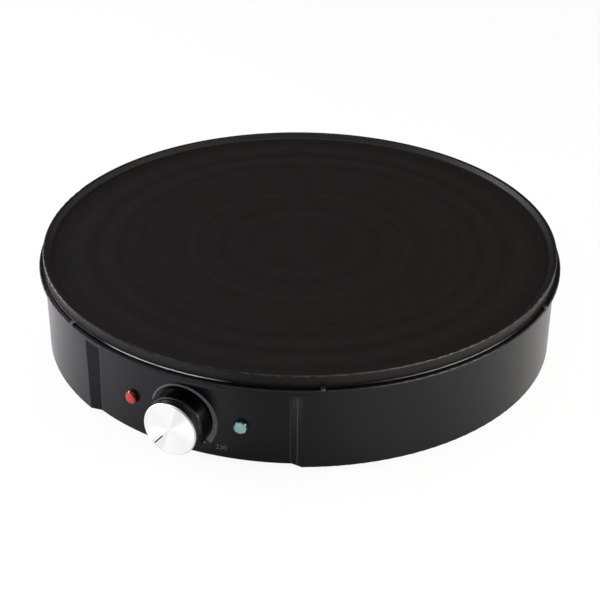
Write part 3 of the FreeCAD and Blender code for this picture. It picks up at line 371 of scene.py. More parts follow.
class PaintedStepHighlights(ShaderGroup):
    """A mask of painted highlights: thin paler lines on the corners of the panel's step, by the
    turn.
    """

    name = "painted step highlights"
    inputs = (GroupSocket("Place", "NodeSocketVector"), GroupSocket("Inner", value=0.4154),
              GroupSocket("Outer", value=0.4363), GroupSocket("Top", value=0.0498))
    outputs = (GroupSocket("Mask"),)
    inset = 0.0045
    bright_reach = (0.0010, 0.0030)
    faint_reach = (0.0012, 0.0036)
    faint_level = 0.55
    top_fade = 0.6 * MM

    def fill(self, graph: GroupGraph) -> None:
        """A bright painted highlight on the outer corner and faint ones inside the panel's corners.

        Args:
            graph: the group's graph.
        """
        place, top = graph.given("Place"), graph.given("Top")
        turn, height = graph.turn(place), graph.add("SeparateXYZ", {0: place}).outputs[2]
        off_outer = graph.math("ABSOLUTE", graph.math("SUBTRACT", turn, graph.given("Outer")))
        inside = graph.math("SUBTRACT", graph.given("Inner"), self.inset)
        either = graph.math("ABSOLUTE", turn)
        off_inner = graph.math("ABSOLUTE", graph.math("SUBTRACT", either, inside))
        bright = graph.spread(off_outer, *self.bright_reach, 1.0, 0.0)
        faint = graph.spread(off_inner, *self.faint_reach, self.faint_level, 0.0)
        below = graph.spread(height, top, graph.math("ADD", top, self.top_fade), 1.0, 0.0)
        line = graph.math("MULTIPLY", graph.math("MAXIMUM", bright, faint), below)
        graph.give("Mask", line)


class TurnedRings(ShaderGroup):
    """The fine rings that a turning tool leaves round an axis."""

    name = "turned rings"
    inputs = (GroupSocket("Radius", value=0.1), GroupSocket("Rings to the metre", value=3000.0))
    outputs = (GroupSocket("Height"), GroupSocket("Shade"))
    broad_scale = 0.13

    def fill(self, graph: GroupGraph) -> None:
        """Noise along the radius alone.

        Args:
            graph: the group's graph.
        """
        along = graph.math("MULTIPLY", graph.given("Radius"), graph.given("Rings to the metre"))
        fine, broad = (graph.add("TexNoise", {"W": along, "Scale": scale, "Detail": detail},
                                 noise_dimensions="1D").outputs["Fac"]
                       for scale, detail in ((1.0, 2.0), (self.broad_scale, 1.0)))
        graph.give("Height", fine)
        graph.give("Shade", graph.spread(broad, 0.3, 0.7))


GRAIN, SHEEN, EDGE_WEAR_AND_HIGHLIGHT = MouldedGrain(), HandledSheen(), EdgeWearAndHighlight()
RINGS, STEP_HIGHLIGHTS = TurnedRings(), PaintedStepHighlights()


# ---------------------------------------------------------------- finishes


class Coat(NamedTuple):
    """What a finish works on while its material is made.

    Attributes:
        graph: the material's graph.
        shader: its Principled shader.
        place: the piece's own coordinates.
        grain: the grain group's node.
    """

    graph: Graph
    shader: Node
    place: Socket
    grain: Node

    def tint(self, colour: Any) -> None:
        """Give the shader its main colour."""
        self.graph.feed(colour, self.shader.inputs["Base Color"])


@dataclass(frozen=True)
class Finish:
    """A finish: its colour and the plain values of its shader.

    Attributes:
        name: the material's name.
        slot: the record's material slot that it belongs to; not used.
        colour: the main colour, linear.
        rough: how dull the surface is, from 0 to 1.
        metallic: 1 for bare metal and 0 for everything else.
        specular: the strength of the reflection seen face on.
        drift: how much the dullness changes from place to place.
        fineness: grains to the metre.
        grain: the depth of the grain in metres.
    """

    name: str
    slot: str
    colour: Colour
    rough: float = 0.5
    metallic: float = 0.0
    specular: float = 0.5
    drift: float = 0.04
    fineness: float = 4000.0
    grain: float = 0.00002

    def material(self) -> bpy.types.Material:
        """The finish's material, made at its first use."""
        found = bpy.data.materials.get(self.name)
        if found is not None:
            return found
        material = bpy.data.materials.new(self.name)
        material.use_nodes = True
        material.node_tree.nodes.clear()
        material.diffuse_color = (*self.colour, 1.0)
        graph = Graph(material.node_tree)
        shader = graph.add("BsdfPrincipled", {"Metallic": self.metallic,
                                              "Specular IOR Level": self.specular})
        graph.add("OutputMaterial", {"Surface": shader.outputs[0]})
        place = graph.object_place()
        grain = GRAIN.place(graph, Place=place, Fineness=self.fineness, Depth=1.0)
        sheen = SHEEN.place(graph, Place=place, Level=self.rough, Drift=self.drift)
        graph.feed(sheen.outputs[0], shader.inputs["Roughness"])
        self.paint(Coat(graph, shader, place, grain))
        return material

    def paint(self, coat: Coat) -> None:
        """Give the shader its colour and its bump.

        Args:
            coat: the material that is being made.
        """
        grain = coat.grain.outputs
        coat.tint(coat.graph.blend(grain["Shade"], shade(self.colour, 0.86), self.colour))
        self.bump(coat, grain["Height"])

    def bump(self, coat: Coat, height: Socket) -> None:
        """Link a height to the shader's normal.

        Args:
            coat: the material that is being made.
            height: the height's socket, from about 0 to 1.
        """
        bump = coat.graph.add("Bump", {"Height": height, "Distance": self.grain, "Strength": 1.0})
        coat.graph.feed(bump.outputs["Normal"], coat.shader.inputs["Normal"])


@dataclass(frozen=True)
class NonStick(Finish):
    """A baked non-stick coating over turned cast aluminium, rubbed along the rim.

    Attributes:
        rim_radius: the radius of the rubbed edge.
        rim_height: its height.
        rim_reach: how far the rubbing reaches from the edge.
        wear_and_highlight_colour: the colour where it is rubbed.
        rings: turned rings to the metre.
        speckles: speckles to the metre.
    """

    rim_radius: float = 153.2 * MM
    rim_height: float = 63.5 * MM
    rim_reach: float = 0.9 * MM
    wear_and_highlight_colour: Colour = (0.06, 0.058, 0.056)
    rings: float = 900.0
    speckles: float = 2600.0

    def paint(self, coat: Coat) -> None:
        """Speckled coating, faint turned rings and a rubbed rim.

        Args:
            coat: the material that is being made.
        """
        graph, _, place, grain = coat
        rings = RINGS.place(graph, Radius=graph.radius(place), Rings_to_the_metre=self.rings)
        speckle = graph.spread(graph.noise(place, self.speckles, 1.0), 0.66, 0.72)
        tone = graph.blend(rings.outputs["Shade"], shade(self.colour, 0.6), self.colour)
        spotted = graph.blend(graph.math("MULTIPLY", speckle, 0.35), tone, self.wear_and_highlight_colour)
        wear_and_highlight = EDGE_WEAR_AND_HIGHLIGHT.place(graph, Place=place, Radius=self.rim_radius, Height=self.rim_height,
                         Reach=self.rim_reach)
        share = graph.math("MULTIPLY", wear_and_highlight.outputs[0], 0.5)
        coat.tint(graph.blend(share, spotted, self.wear_and_highlight_colour))
        height = graph.math("MULTIPLY_ADD", rings.outputs["Height"], 0.6, grain.outputs["Height"])
        self.bump(coat, height)


@dataclass(frozen=True)
class SatinMoulding(Finish):
    """Satin black moulding with a hint of light wear along its round edges, and painted highlights.

    Attributes:
        edges: radius and height of each paler edge: worn on the housing and base, a painted
            highlight on the ring.
        wear_and_highlight: the colour of the worn edges and of the painted highlights.
        reach: how far the paler colour reaches from an edge.
        wear_and_highlight_share: how far the paler colour shows.
        patchy: how far the paler colour is broken up.
        step_highlights_painted: whether highlight lines are painted on the step round the panel.
    """

    edges: tuple[Point, ...] = ((151.9 * MM, 4.2 * MM),)
    wear_and_highlight: Colour = (0.05, 0.05, 0.052)
    reach: float = 1.1 * MM
    wear_and_highlight_share: float = 0.3
    patchy: float = 1.0
    step_highlights_painted: bool = False

    def paint(self, coat: Coat) -> None:
        """The moulding's tone with its worn edges and painted highlights.

        Args:
            coat: the material that is being made.
        """
        graph, _, place, grain = coat
        colour = graph.blend(grain.outputs["Shade"], shade(self.colour, 0.88), self.colour)
        # The paler edge colour is wear, and on the ring it is a painted highlight.
        for radius, height in self.edges:
            wear_and_highlight = EDGE_WEAR_AND_HIGHLIGHT.place(graph, Place=place, Radius=radius, Height=height, Reach=self.reach,
                             Patchy=self.patchy)
            share = graph.math("MULTIPLY", wear_and_highlight.outputs[0], self.wear_and_highlight_share)
            colour = graph.blend(share, colour, self.wear_and_highlight)
        # Painted highlights: paler lines along the step's corners.
        if self.step_highlights_painted:
            colour = graph.blend(STEP_HIGHLIGHTS.place(graph, Place=place).outputs["Mask"], colour, self.wear_and_highlight)
        coat.tint(colour)
        self.bump(coat, grain.outputs["Height"])


@dataclass(frozen=True)
class PaintedHighlightLip(Finish):
    """Non-stick coating with painted highlights: paler stretches stand in for light on the lip.

    Attributes:
        wear_and_highlight_colour: the colour of the painted highlights.
        patches: patches of the painted highlights to the metre.
        places: for each stretch of painted highlight, the turns in degrees where it starts, is
            full,
        begins to fade and ends, and how strong it is.
    """

    wear_and_highlight_colour: Colour = (0.56, 0.55, 0.55)
    patches: float = 150.0
    places: tuple[tuple[float, float, float, float, float], ...] = (
        (-21.0, -12.0, 3.0, 12.5, 1.0), (36.0, 58.0, 62.0, 79.0, 0.3))

    def paint(self, coat: Coat) -> None:
        """Coating with its stretches of painted highlight.

        Args:
            coat: the material that is being made.
        """
        graph, _, place, grain = coat
        turn = graph.turn(place)
        uneven = graph.spread(graph.noise(place, self.patches, 4.0, 0.6), 0.3, 0.7, 0.7, 1.1)
        colour = self.colour
        # Painted highlights: paler stretches of colour stand in for light caught by the lip.
        for *reach, most in self.places:
            share = graph.math("MULTIPLY", graph.sector(turn, reach, most), uneven, clamp=True)
            colour = graph.blend(share, colour, self.wear_and_highlight_colour)
        coat.tint(colour)
        self.bump(coat, grain.outputs["Height"])


@dataclass(frozen=True)
class SpunMetal(Finish):
    """Metal turned about an axis that points to the front, with light-catching rings and painted
    shade wedges.

    Attributes:
        centre: the height of the axis.
        anisotropic: how far the rings stretch a highlight.
        wedge_turn: the direction of the two wedges of painted shade on the spun face, in degrees.
        wedge: how much darker the painted shade makes them.
        painted_wedge_shade: the colour of the painted shade.
        rings: rings to the metre.
    """

    centre: float = 25.2 * MM
    anisotropic: float = 0.9
    wedge_turn: float = 57.0
    wedge: float = 0.3
    painted_wedge_shade: Colour = (0.45, 0.46, 0.455)
    rings: float = 9000.0

    def paint(self, coat: Coat) -> None:
        """Fine rings in the colour and the bump, stretched highlights, and two wedges of painted
        shade.

        Args:
            coat: the material that is being made.
        """
        graph, shader, place, _ = coat
        turned = graph.add("Mapping", {"Vector": place, "Location": (0.0, 0.0, -self.centre)})
        level = graph.add("Mapping", {"Vector": turned.outputs[0],
                                      "Rotation": (math.radians(90), 0.0, 0.0)})
        rings = RINGS.place(graph, Radius=graph.radius(level.outputs[0]),
                            Rings_to_the_metre=self.rings)
        tone = graph.blend(rings.outputs["Shade"], shade(self.colour, 0.975), self.colour)
        # Painted shade: two duller wedges stand in for a darker reflection on the spun face.
        parts = graph.add("SeparateXYZ", {0: level.outputs[0]})
        above = graph.math("MULTIPLY", parts.outputs[1], -1.0)
        turn = graph.math("ARCTAN2", above, parts.outputs[0])
        twice = graph.math("MULTIPLY_ADD", turn, 2.0, math.radians(-2.0 * self.wedge_turn))
        wedge = graph.spread(graph.math("COSINE", twice), 0.72, 1.0, 0.0, self.wedge, smooth=True)
        coat.tint(graph.blend(wedge, tone, self.painted_wedge_shade))
        shader.inputs["Anisotropic"].default_value = self.anisotropic
        tangent = graph.add("Tangent", direction_type="RADIAL", axis="Y")
        graph.feed(tangent.outputs[0], shader.inputs["Tangent"])
        self.bump(coat, rings.outputs["Height"])


@dataclass(frozen=True)
class TintedLens(Finish):
    """Clear tinted plastic of a pilot lamp's lens, painted paler where light gathers at its face.

    Attributes:
        face: the paler colour at the lens's face, painted light.
        face_distance: how far from the Z axis the face lies.
        cells: cells of the plastic to the metre.
    """

    face: Colour = (0.6, 0.1, 0.1)
    face_distance: float = 151.4 * MM
    cells: float = 1100.0

    def paint(self, coat: Coat) -> None:
        """Painted light: the colour is paler at the face and deepens to the root.

        Args:
            coat: the material that is being made.
        """
        graph, shader, place, _ = coat
        # Painted light: the colour grows paler towards the lens's face.
        share = graph.spread(graph.radius(place), self.face_distance - 0.9 * MM,
                             self.face_distance - 0.3 * MM, smooth=True)
        cells = graph.add("TexVoronoi", {"Vector": place, "Scale": self.cells}, feature="F1")
        speck = graph.spread(cells.outputs["Distance"], 0.1, 0.7, 1.0, 0.55)
        light = graph.math("MULTIPLY", share, speck)
        coat.tint(graph.blend(light, self.colour, self.face))
        shader.inputs["Transmission Weight"].default_value = 0.15
        shader.inputs["Coat Weight"].default_value = 0.3
        self.bump(coat, cells.outputs["Distance"])


@dataclass(frozen=True)
class WovenSleeve(Finish):
    """A woven or drawn sleeve on a wire.

    Attributes:
        strands: strands to the metre along the wire.
        mark: the colour of the second strand.
    """

    strands: float = 900.0
    mark: Colour = (0.5, 0.48, 0.42)

    def paint(self, coat: Coat) -> None:
        """Slanting waves for the strands.

        Args:
            coat: the material that is being made.
        """
        graph, _, place, grain = coat
        wave = graph.add("TexWave", {"Vector": place, "Scale": self.strands, "Distortion": 1.2},
                         bands_direction="DIAGONAL").outputs["Fac"]
        coat.tint(graph.blend(wave, self.mark, self.colour))
        self.bump(coat, graph.math("MULTIPLY_ADD", grain.outputs["Height"], 0.4, wave))


PLATE_COATING = NonStick("plate coating", "plate_coating", (0.0052, 0.0042, 0.0038), rough=0.4,
                         specular=0.22, fineness=1500.0, grain=0.00004)
# The housing's step lines are painted highlights.
HOUSING = SatinMoulding("housing moulding", "housing_black", (0.0036, 0.0032, 0.0042), rough=0.24,
                        specular=0.23, drift=0.025, fineness=3600.0, grain=0.000006, step_highlights_painted=True)
BASE = SatinMoulding("base moulding", "base_black", (0.012, 0.012, 0.013), rough=0.55,
                     fineness=1800.0, grain=0.00005, edges=((142.8 * MM, 4.6 * MM),))
# The ring's paler top edge is a painted highlight.
RING = SatinMoulding("ring enamel", "ring_black", (0.0034, 0.0031, 0.004), rough=0.3, specular=0.2,
                     drift=0.025, fineness=3600.0, grain=0.000006, edges=((156.0 * MM, 55.6 * MM),),
                     wear_and_highlight=(0.06, 0.058, 0.061), wear_and_highlight_share=0.45, patchy=0.6)
PAD = Finish("pad rubber", "pad_black", (0.02, 0.02, 0.02), rough=0.14, specular=0.9)
# The plate lip's paler stretches are painted highlights.
LIP = PaintedHighlightLip("plate lip coating", "plate_coating", (0.004, 0.0036, 0.0034), rough=0.35,
                specular=0.12, fineness=1500.0, grain=0.000004)
FOOT = Finish("foot rubber", "foot_rubber", (0.022, 0.022, 0.022), rough=0.75, fineness=1500.0,
              grain=0.00006)
KNOB_BLACK = Finish("knob moulding", "knob_black", (0.0014, 0.0014, 0.0016), rough=0.22,
                    specular=0.2, fineness=3000.0, grain=0.000006)
KNOB_METAL = SpunMetal("knob spun aluminium", "knob_aluminium", (0.9, 0.905, 0.89), rough=0.26,
                       metallic=1.0, drift=0.02, grain=0.000002)
POINTER_INK = Finish("pointer ink", "knob_black", (0.004, 0.004, 0.004), rough=0.6, specular=0.1)
PRINT_GREY = Finish("print grey", "housing_black", (0.15, 0.15, 0.155), rough=0.5, specular=0.3,
                    fineness=6000.0, grain=0.000006)
# The lenses' paler faces are painted light.
LENS_RED = TintedLens("red lens", "lens_red", (0.06, 0.0006, 0.001), rough=0.16, drift=0.02,
                      specular=0.3, grain=0.00003, face=(0.85, 0.035, 0.03))
LENS_GREEN = TintedLens("green lens", "lens_green", (0.0005, 0.02, 0.013), rough=0.16, drift=0.02,
                        specular=0.3, grain=0.00003, face=(0.46, 0.84, 0.78))
NEON = Finish("neon glass", "neon_glass", (0.85, 0.7, 0.6), rough=0.08, drift=0.02, grain=0.000002)
GLAND = Finish("gland rubber", "gland_black", (0.012, 0.012, 0.012), rough=0.55, grain=0.00003)
CASE = Finish("plated case", "thermostat_grey", (0.55, 0.55, 0.54), rough=0.38, metallic=1.0)
SHEATH = Finish("heat tinted sheath", "sheathed_steel", (0.2, 0.18, 0.16), rough=0.45, metallic=1.0,
                drift=0.12)
SHEET_METAL = Finish("aluminised sheet", "aluminised_sheet", (0.62, 0.62, 0.63), rough=0.34,
                     metallic=1.0, drift=0.1, fineness=500.0)
STEEL = Finish("zinc plated steel", "steel", (0.55, 0.55, 0.56), rough=0.32, metallic=1.0,
               drift=0.08)
BRASS = Finish("turned brass", "brass", (0.62, 0.42, 0.16), rough=0.32, metallic=1.0, drift=0.08)
CERAMIC = Finish("fired ceramic", "ceramic", (0.78, 0.75, 0.68), rough=0.7, fineness=2200.0,
                 grain=0.00004)
TERMINAL = Finish("terminal moulding", "terminal_white", (0.72, 0.7, 0.64), rough=0.5)
SLEEVE = WovenSleeve("woven wire sleeve", "wire_sleeve", (0.66, 0.63, 0.55), rough=0.8,
                     grain=0.00012)
EARTH = WovenSleeve("earth wire sleeve", "wire_earth", (0.12, 0.33, 0.03), rough=0.4, strands=60.0,
                    mark=(0.55, 0.45, 0.03), grain=0.00001)

NODE_FINISHES: dict[str, Finish] = {
    "cooking_plate": PLATE_COATING, "heating_element": SHEATH, "element_seals": CERAMIC,
    "element_pins": STEEL, "hold_down_screws": STEEL, "pan_sleeves": STEEL,
    "reflector_pan": SHEET_METAL, "heat_ring": RING, "plate_pads": PAD,
    "housing_shell": HOUSING, "base_cover": BASE, "foot_front_left": FOOT,
    "foot_front_right": FOOT, "foot_rear_right": FOOT, "foot_rear_left": FOOT,
    "base_screws": STEEL, "knob_body": KNOB_BLACK, "knob_cap": KNOB_METAL,
    "knob_spring_clip": STEEL, "thermostat_spindle": BRASS, "thermostat_case": CASE,
    "bushing_nut": BRASS, "thermostat_bracket": SHEET_METAL, "bracket_screws": STEEL,
    "push_pin": CERAMIC, "thermostat_blades": BRASS, "sensor_bulb": BRASS,
    "bulb_strap_left": STEEL, "bulb_strap_right": STEEL, "capillary_tube": BRASS,
    "red_lamp_lens": LENS_RED, "red_neon_lamp": NEON, "red_lamp_retainer": STEEL,
    "green_lamp_lens": LENS_GREEN, "green_neon_lamp": NEON, "green_lamp_retainer": STEEL,
    "cord_gland": GLAND, "terminal_block": TERMINAL, "terminal_screws": STEEL,
    "thermal_fuse": STEEL, "fuse_strap": STEEL, "live_wire": SLEEVE, "switched_wire": SLEEVE,
    "fuse_feed_wire": SLEEVE, "fuse_return_wire": SLEEVE, "earth_wire": EARTH, "earth_tag": BRASS,
}


# ---------------------------------------------------------------- modelling


class Workpiece:
    """A mesh that is being modelled about its own Z axis."""

    def __init__(self) -> None:
        """Start with an empty mesh."""
        self.bm = bmesh.new()

    def turn_profile(self, profile: Sequence[Point], steps: int = 96) -> "Workpiece":
        """Spin an open profile once round the Z axis.

        Args:
            profile: radius and height of each point, from the axis to the axis.
            steps: how many faces go round.

        Returns:
            This workpiece.
        """
        verts = [self.bm.verts.new((radius, 0.0, height)) for radius, height in profile]
        edges = [self.bm.edges.new(pair) for pair in zip(verts, verts[1:])]
        bmesh.ops.spin(self.bm, geom=verts + edges, cent=(0, 0, 0), axis=(0, 0, 1),
                       angle=math.tau, steps=steps, use_merge=True, use_duplicate=False)
        bmesh.ops.remove_doubles(self.bm, verts=self.bm.verts, dist=0.002 * MM)
        return self

    def flute(self, count: int, depth: float, low: float, high: float,
              radius: float) -> "Workpiece":
        """Press shallow flutes into the side between two heights.

        Args:
            count: how many flutes go round.
            depth: how deep they are.
            low: the lower height.
            high: the upper height.
            radius: points nearer to the axis than this stay where they are.

        Returns:
            This workpiece.
        """
        for vert in self.bm.verts:
            away = math.hypot(vert.co.x, vert.co.y)
            if away > radius and low <= vert.co.z <= high:
                wave = 0.5 - 0.5 * math.cos(count * math.atan2(vert.co.y, vert.co.x))
                shrink = 1.0 - depth * wave / away
                vert.co.x *= shrink
                vert.co.y *= shrink
        return self

    def soften(self, angle: float, width: float, segments: int = 2) -> "Workpiece":
        """Bevel the edges that turn by more than an angle.

        Args:
            angle: the least turn in degrees.
            width: the bevel's width.
            segments: how many faces cross it.

        Returns:
            This workpiece.
        """
        sharp = [edge for edge in self.bm.edges
                 if len(edge.link_faces) == 2 and edge.calc_face_angle(0.0) > math.radians(angle)]
        bmesh.ops.bevel(self.bm, geom=sharp, offset=width, segments=segments, profile=0.5,
                        affect="EDGES", material=-1, clamp_overlap=True)
        return self

    def place(self, matrix: Matrix) -> "Workpiece":
        """Move the mesh itself to its place."""
        self.bm.transform(matrix)
        return self

    def finish(self, name: str, body: Body, finish: Finish, replaced: Sequence[str] = (),
               smooth: float = 35.0) -> bpy.types.Object:
        """Turn the workpiece into a piece of the scene.

        Args:
            name: the piece's name.
            body: the body that it rides on.
            finish: what it is dressed in.
            replaced: the nodes that it stands for.
            smooth: edges that turn by less than this many degrees are shaded smooth.

        Returns:
            The new object.
        """
        bmesh.ops.recalc_face_normals(self.bm, faces=self.bm.faces)
        for face in self.bm.faces:
            face.smooth = True
        mesh = bpy.data.meshes.new(name)
        self.bm.to_mesh(mesh)
        self.bm.free()
        mesh.set_sharp_from_angle(angle=math.radians(smooth))
        mesh.materials.append(finish.material())
        return present(mesh, name, body, finish, replaced)


def present(mesh: bpy.types.Mesh, name: str, body: Body, finish: Finish,
            replaced: Sequence[str] = ()) -> bpy.types.Object:
    """Put a finished mesh in the scene, on its body.

    Args:
        mesh: the mesh, with its material.
        name: the piece's name.
        body: the body that it rides on.
        finish: what it is dressed in.
        replaced: the nodes that it stands for.

    Returns:
        The new object.
    """
    piece = bpy.data.objects.new(name, mesh)
    bpy.context.scene.collection.objects.link(piece)
    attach(piece, body.value)
    if replaced:
        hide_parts(*replaced)
    LOG.info("%s: %d faces, %s", name, len(mesh.polygons), finish.name)
    return piece


def facing(way: Facing, height: float, turn: float = 0.0) -> Matrix:
    """The matrix that stands a turned piece on its side at a height.

    Args:
        way: where its axis points.
        height: the height of that axis above the table.
        turn: how far it is then turned about the appliance's axis, in degrees.

    Returns:
        The matrix.
    """
    return (Matrix.Rotation(math.radians(turn), 4, "Z") @ Matrix.Translation((0, 0, height))
            @ Matrix.Rotation(math.radians(way.value), 4, "X"))


@dataclass
class KnobDress:
    """The knob: a fluted black body under a spun metal cap with a black pointer."""

    axis_height: float = 25.2 * MM
    back: float = 149.3 * MM
    cap_back: float = 159.6 * MM
    cap_seat: float = 162.6 * MM
    face: float = 163.6 * MM
    cap_radius: float = 16.0 * MM
    cap_inner: float = 15.3 * MM
    grip_back: float = 157.6 * MM
    grip_radius: float = 16.3 * MM
    skirt_radius: float = 18.0 * MM
    wall: float = 1.8 * MM
    hub_radius: float = 6.0 * MM
    floor: float = 160.0 * MM
    bore_radius: float = 3.05 * MM
    bore_end: float = 159.8 * MM
    flutes: int = 72
    flute_depth: float = 0.32 * MM
    pointer_angle: float = 229.7
    pointer_start: float = 6.9 * MM
    pointer_end: float = 14.7 * MM
    pointer_width: float = 0.7 * MM

    def build(self) -> None:
        """Make the body, the cap and the pointer."""
        self.make_body()
        self.make_cap()
        self.make_pointer()

    def make_body(self) -> None:
        """The flared body with a band of fine flutes, its hollow back, hub and bore."""
        work = Workpiece()
        inner = self.cap_inner - 0.05 * MM
        work.turn_profile([
            (0.0, self.bore_end), (self.bore_radius, self.bore_end), (self.bore_radius, self.back),
            (self.hub_radius, self.back), (self.hub_radius, self.floor),
            (inner - self.wall, self.floor), (self.skirt_radius - self.wall, self.back),
            (self.skirt_radius - 0.3 * MM, self.back), (self.skirt_radius, self.back + 0.3 * MM),
            (self.skirt_radius - 0.05 * MM, self.back + 1.0 * MM),
            (self.grip_radius + 0.45 * MM, self.grip_back - 1.2 * MM),
            (self.grip_radius + 0.3 * MM, self.grip_back - 0.2 * MM),
            (self.grip_radius + 0.25 * MM, self.grip_back),
            (self.grip_radius + 0.05 * MM, self.grip_back + 0.2 * MM),
            (self.grip_radius, self.grip_back + 0.3 * MM),
            (self.grip_radius - 0.1 * MM, self.cap_back - 0.35 * MM),
            (self.grip_radius - 0.35 * MM, self.cap_back - 0.1 * MM),
            (inner, self.cap_back - 0.1 * MM), (inner, self.cap_seat), (0.0, self.cap_seat)], 576)
        work.flute(self.flutes, self.flute_depth, self.grip_back - 0.01 * MM,
                   self.cap_back - 0.3 * MM, self.grip_radius - 0.2 * MM)
        work.place(facing(Facing.FRONT, self.axis_height))
        work.finish("knob_grip", Body.KNOB, KNOB_BLACK, ["knob_body"], smooth=50.0)

    def make_cap(self) -> None:
        """The thin spun cap: a barely dished face, a bright chamfer and a short skirt."""
        work = Workpiece()
        rim = self.cap_radius
        work.turn_profile([
            (0.0, self.cap_seat), (self.cap_inner, self.cap_seat), (self.cap_inner, self.cap_back),
            (rim - 0.12 * MM, self.cap_back), (rim, self.cap_back + 0.12 * MM),
            (rim, self.face - 0.62 * MM), (rim - 0.08 * MM, self.face - 0.5 * MM),
            (rim - 0.5 * MM, self.face - 0.08 * MM), (rim - 0.62 * MM, self.face),
            (rim - 1.3 * MM, self.face), (rim - 1.5 * MM, self.face - 0.06 * MM),
            (rim * 0.5, self.face - 0.1 * MM), (0.6 * MM, self.face - 0.12 * MM),
            (0.0, self.face - 0.12 * MM)], 192)
        work.place(facing(Facing.FRONT, self.axis_height))
        work.finish("knob_spun_cap", Body.KNOB, KNOB_METAL, ["knob_cap"], smooth=20.0)

    def make_pointer(self) -> None:
        """The black line on the cap's face."""
        work = Workpiece()
        bmesh.ops.create_cube(work.bm, size=1.0)
        length = self.pointer_end - self.pointer_start
        bmesh.ops.scale(work.bm, vec=(length, self.pointer_width, 0.16 * MM), verts=work.bm.verts)
        middle = (self.pointer_start + self.pointer_end) / 2
        bmesh.ops.translate(work.bm, vec=(middle, 0.0, self.face - 0.09 * MM), verts=work.bm.verts)
        work.soften(60.0, 0.03 * MM)
        work.place(facing(Facing.FRONT, self.axis_height)
                   @ Matrix.Rotation(math.radians(self.pointer_angle), 4, "Z"))
        work.finish("knob_pointer", Body.KNOB, POINTER_INK)


@dataclass
class HousingStep:
    """The housing, with the sides of the step round its recessed panel sloped.

    Attributes:
        node: the node that it is copied from.
        corner: the turn of the step's outer corners, in degrees.
        slope_end: the turn that they are spread to.
        blend_end: the turn where the spreading has faded to nothing.
        least_radius: points nearer to the axis than this stay where they are.
    """

    node: str = "housing_shell"
    corner: float = 23.75
    slope_end: float = 25.0
    blend_end: float = 32.0
    least_radius: float = 150.0 * MM

    def build(self) -> None:
        """Copy the housing and spread the outer corners of its step."""
        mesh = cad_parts[self.node].data.copy()
        work = bmesh.new()
        work.from_mesh(mesh)
        stretch = (self.blend_end - self.slope_end) / (self.blend_end - self.corner)
        for vert in work.verts:
            radius = math.hypot(vert.co.x, vert.co.y)
            turn = math.degrees(math.atan2(vert.co.x, -vert.co.y))
            if radius < self.least_radius or not self.corner <= abs(turn) < self.blend_end:
                continue
            moved = self.slope_end + (abs(turn) - self.corner) * stretch
            angle = math.radians(math.copysign(moved, turn))
            vert.co.x, vert.co.y = radius * math.sin(angle), -radius * math.cos(angle)
        work.to_mesh(mesh)
        work.free()
        mesh.name = "moulded_housing"
        present(mesh, "moulded_housing", Body.APPLIANCE, HOUSING, [self.node])


@dataclass
class PlateLip:
    """The fine rolled lip along the lower edge of the plate's side."""

    radius: float = 152.98 * MM
    height: float = 56.5 * MM
    size: float = 0.36 * MM
    points: int = 12

    def build(self) -> None:
        """Turn the lip's small round section."""
        work = Workpiece()
        angles = [math.tau * number / self.points for number in range(self.points)]
        loop = [(self.radius + self.size * math.cos(angle),
                 self.height + self.size * math.sin(angle)) for angle in angles]
        work.turn_profile([*loop, loop[0]], 512)
        work.finish("plate_lip", Body.APPLIANCE, LIP, smooth=60.0)


@dataclass
class LampDress:
    """A pilot lamp's jewel: a short round lens with a cut face."""

    name: str
    finish: Finish
    turn: float
    node: str
    height: float = 26.1 * MM
    face: float = 151.4 * MM
    root: float = 142.4 * MM
    radius: float = 4.1 * MM
    bore_radius: float = 2.2 * MM
    bore_end: float = 148.4 * MM
    facets: int = 8

    def build(self) -> None:
        """Cut the lens from a prism with many facets."""
        work = Workpiece()
        work.turn_profile([
            (0.0, self.bore_end), (self.bore_radius, self.bore_end), (self.bore_radius, self.root),
            (self.radius, self.root), (self.radius, self.face - 1.5 * MM),
            (self.radius - 0.2 * MM, self.face - 1.1 * MM)], 48)
        self.cut_face(work)
        work.place(facing(Facing.FRONT, self.height, self.turn))
        work.finish(self.name, Body.APPLIANCE, self.finish, [self.node], smooth=18.0)

    def cut_face(self, work: Workpiece) -> None:
        """Close the front with rings of flat facets.

        Args:
            work: the lens, open at its front.
        """
        rim = [edge for edge in work.bm.edges if edge.is_boundary
               and min(vert.co.z for vert in edge.verts) > self.face - 1.2 * MM]
        for radius, height in ((self.radius - 0.9 * MM, self.face - 0.3 * MM),
                               (self.radius - 2.2 * MM, self.face)):
            made = bmesh.ops.extrude_edge_only(work.bm, edges=rim)
            verts = [item for item in made["geom"] if isinstance(item, bmesh.types.BMVert)]
            rim = [item for item in made["geom"] if isinstance(item, bmesh.types.BMEdge)
                   and item.is_boundary]
            for vert in verts:
                angle = math.atan2(vert.co.y, vert.co.x)
                cut = math.floor(angle / math.tau * self.facets + 0.5) * math.tau / self.facets
                vert.co = (radius * math.cos(cut), radius * math.sin(cut), height)
        bmesh.ops.remove_doubles(work.bm, verts=work.bm.verts, dist=0.002 * MM)
        rim = [edge for edge in work.bm.edges if edge.is_boundary]
        bmesh.ops.holes_fill(work.bm, edges=rim, sides=0)


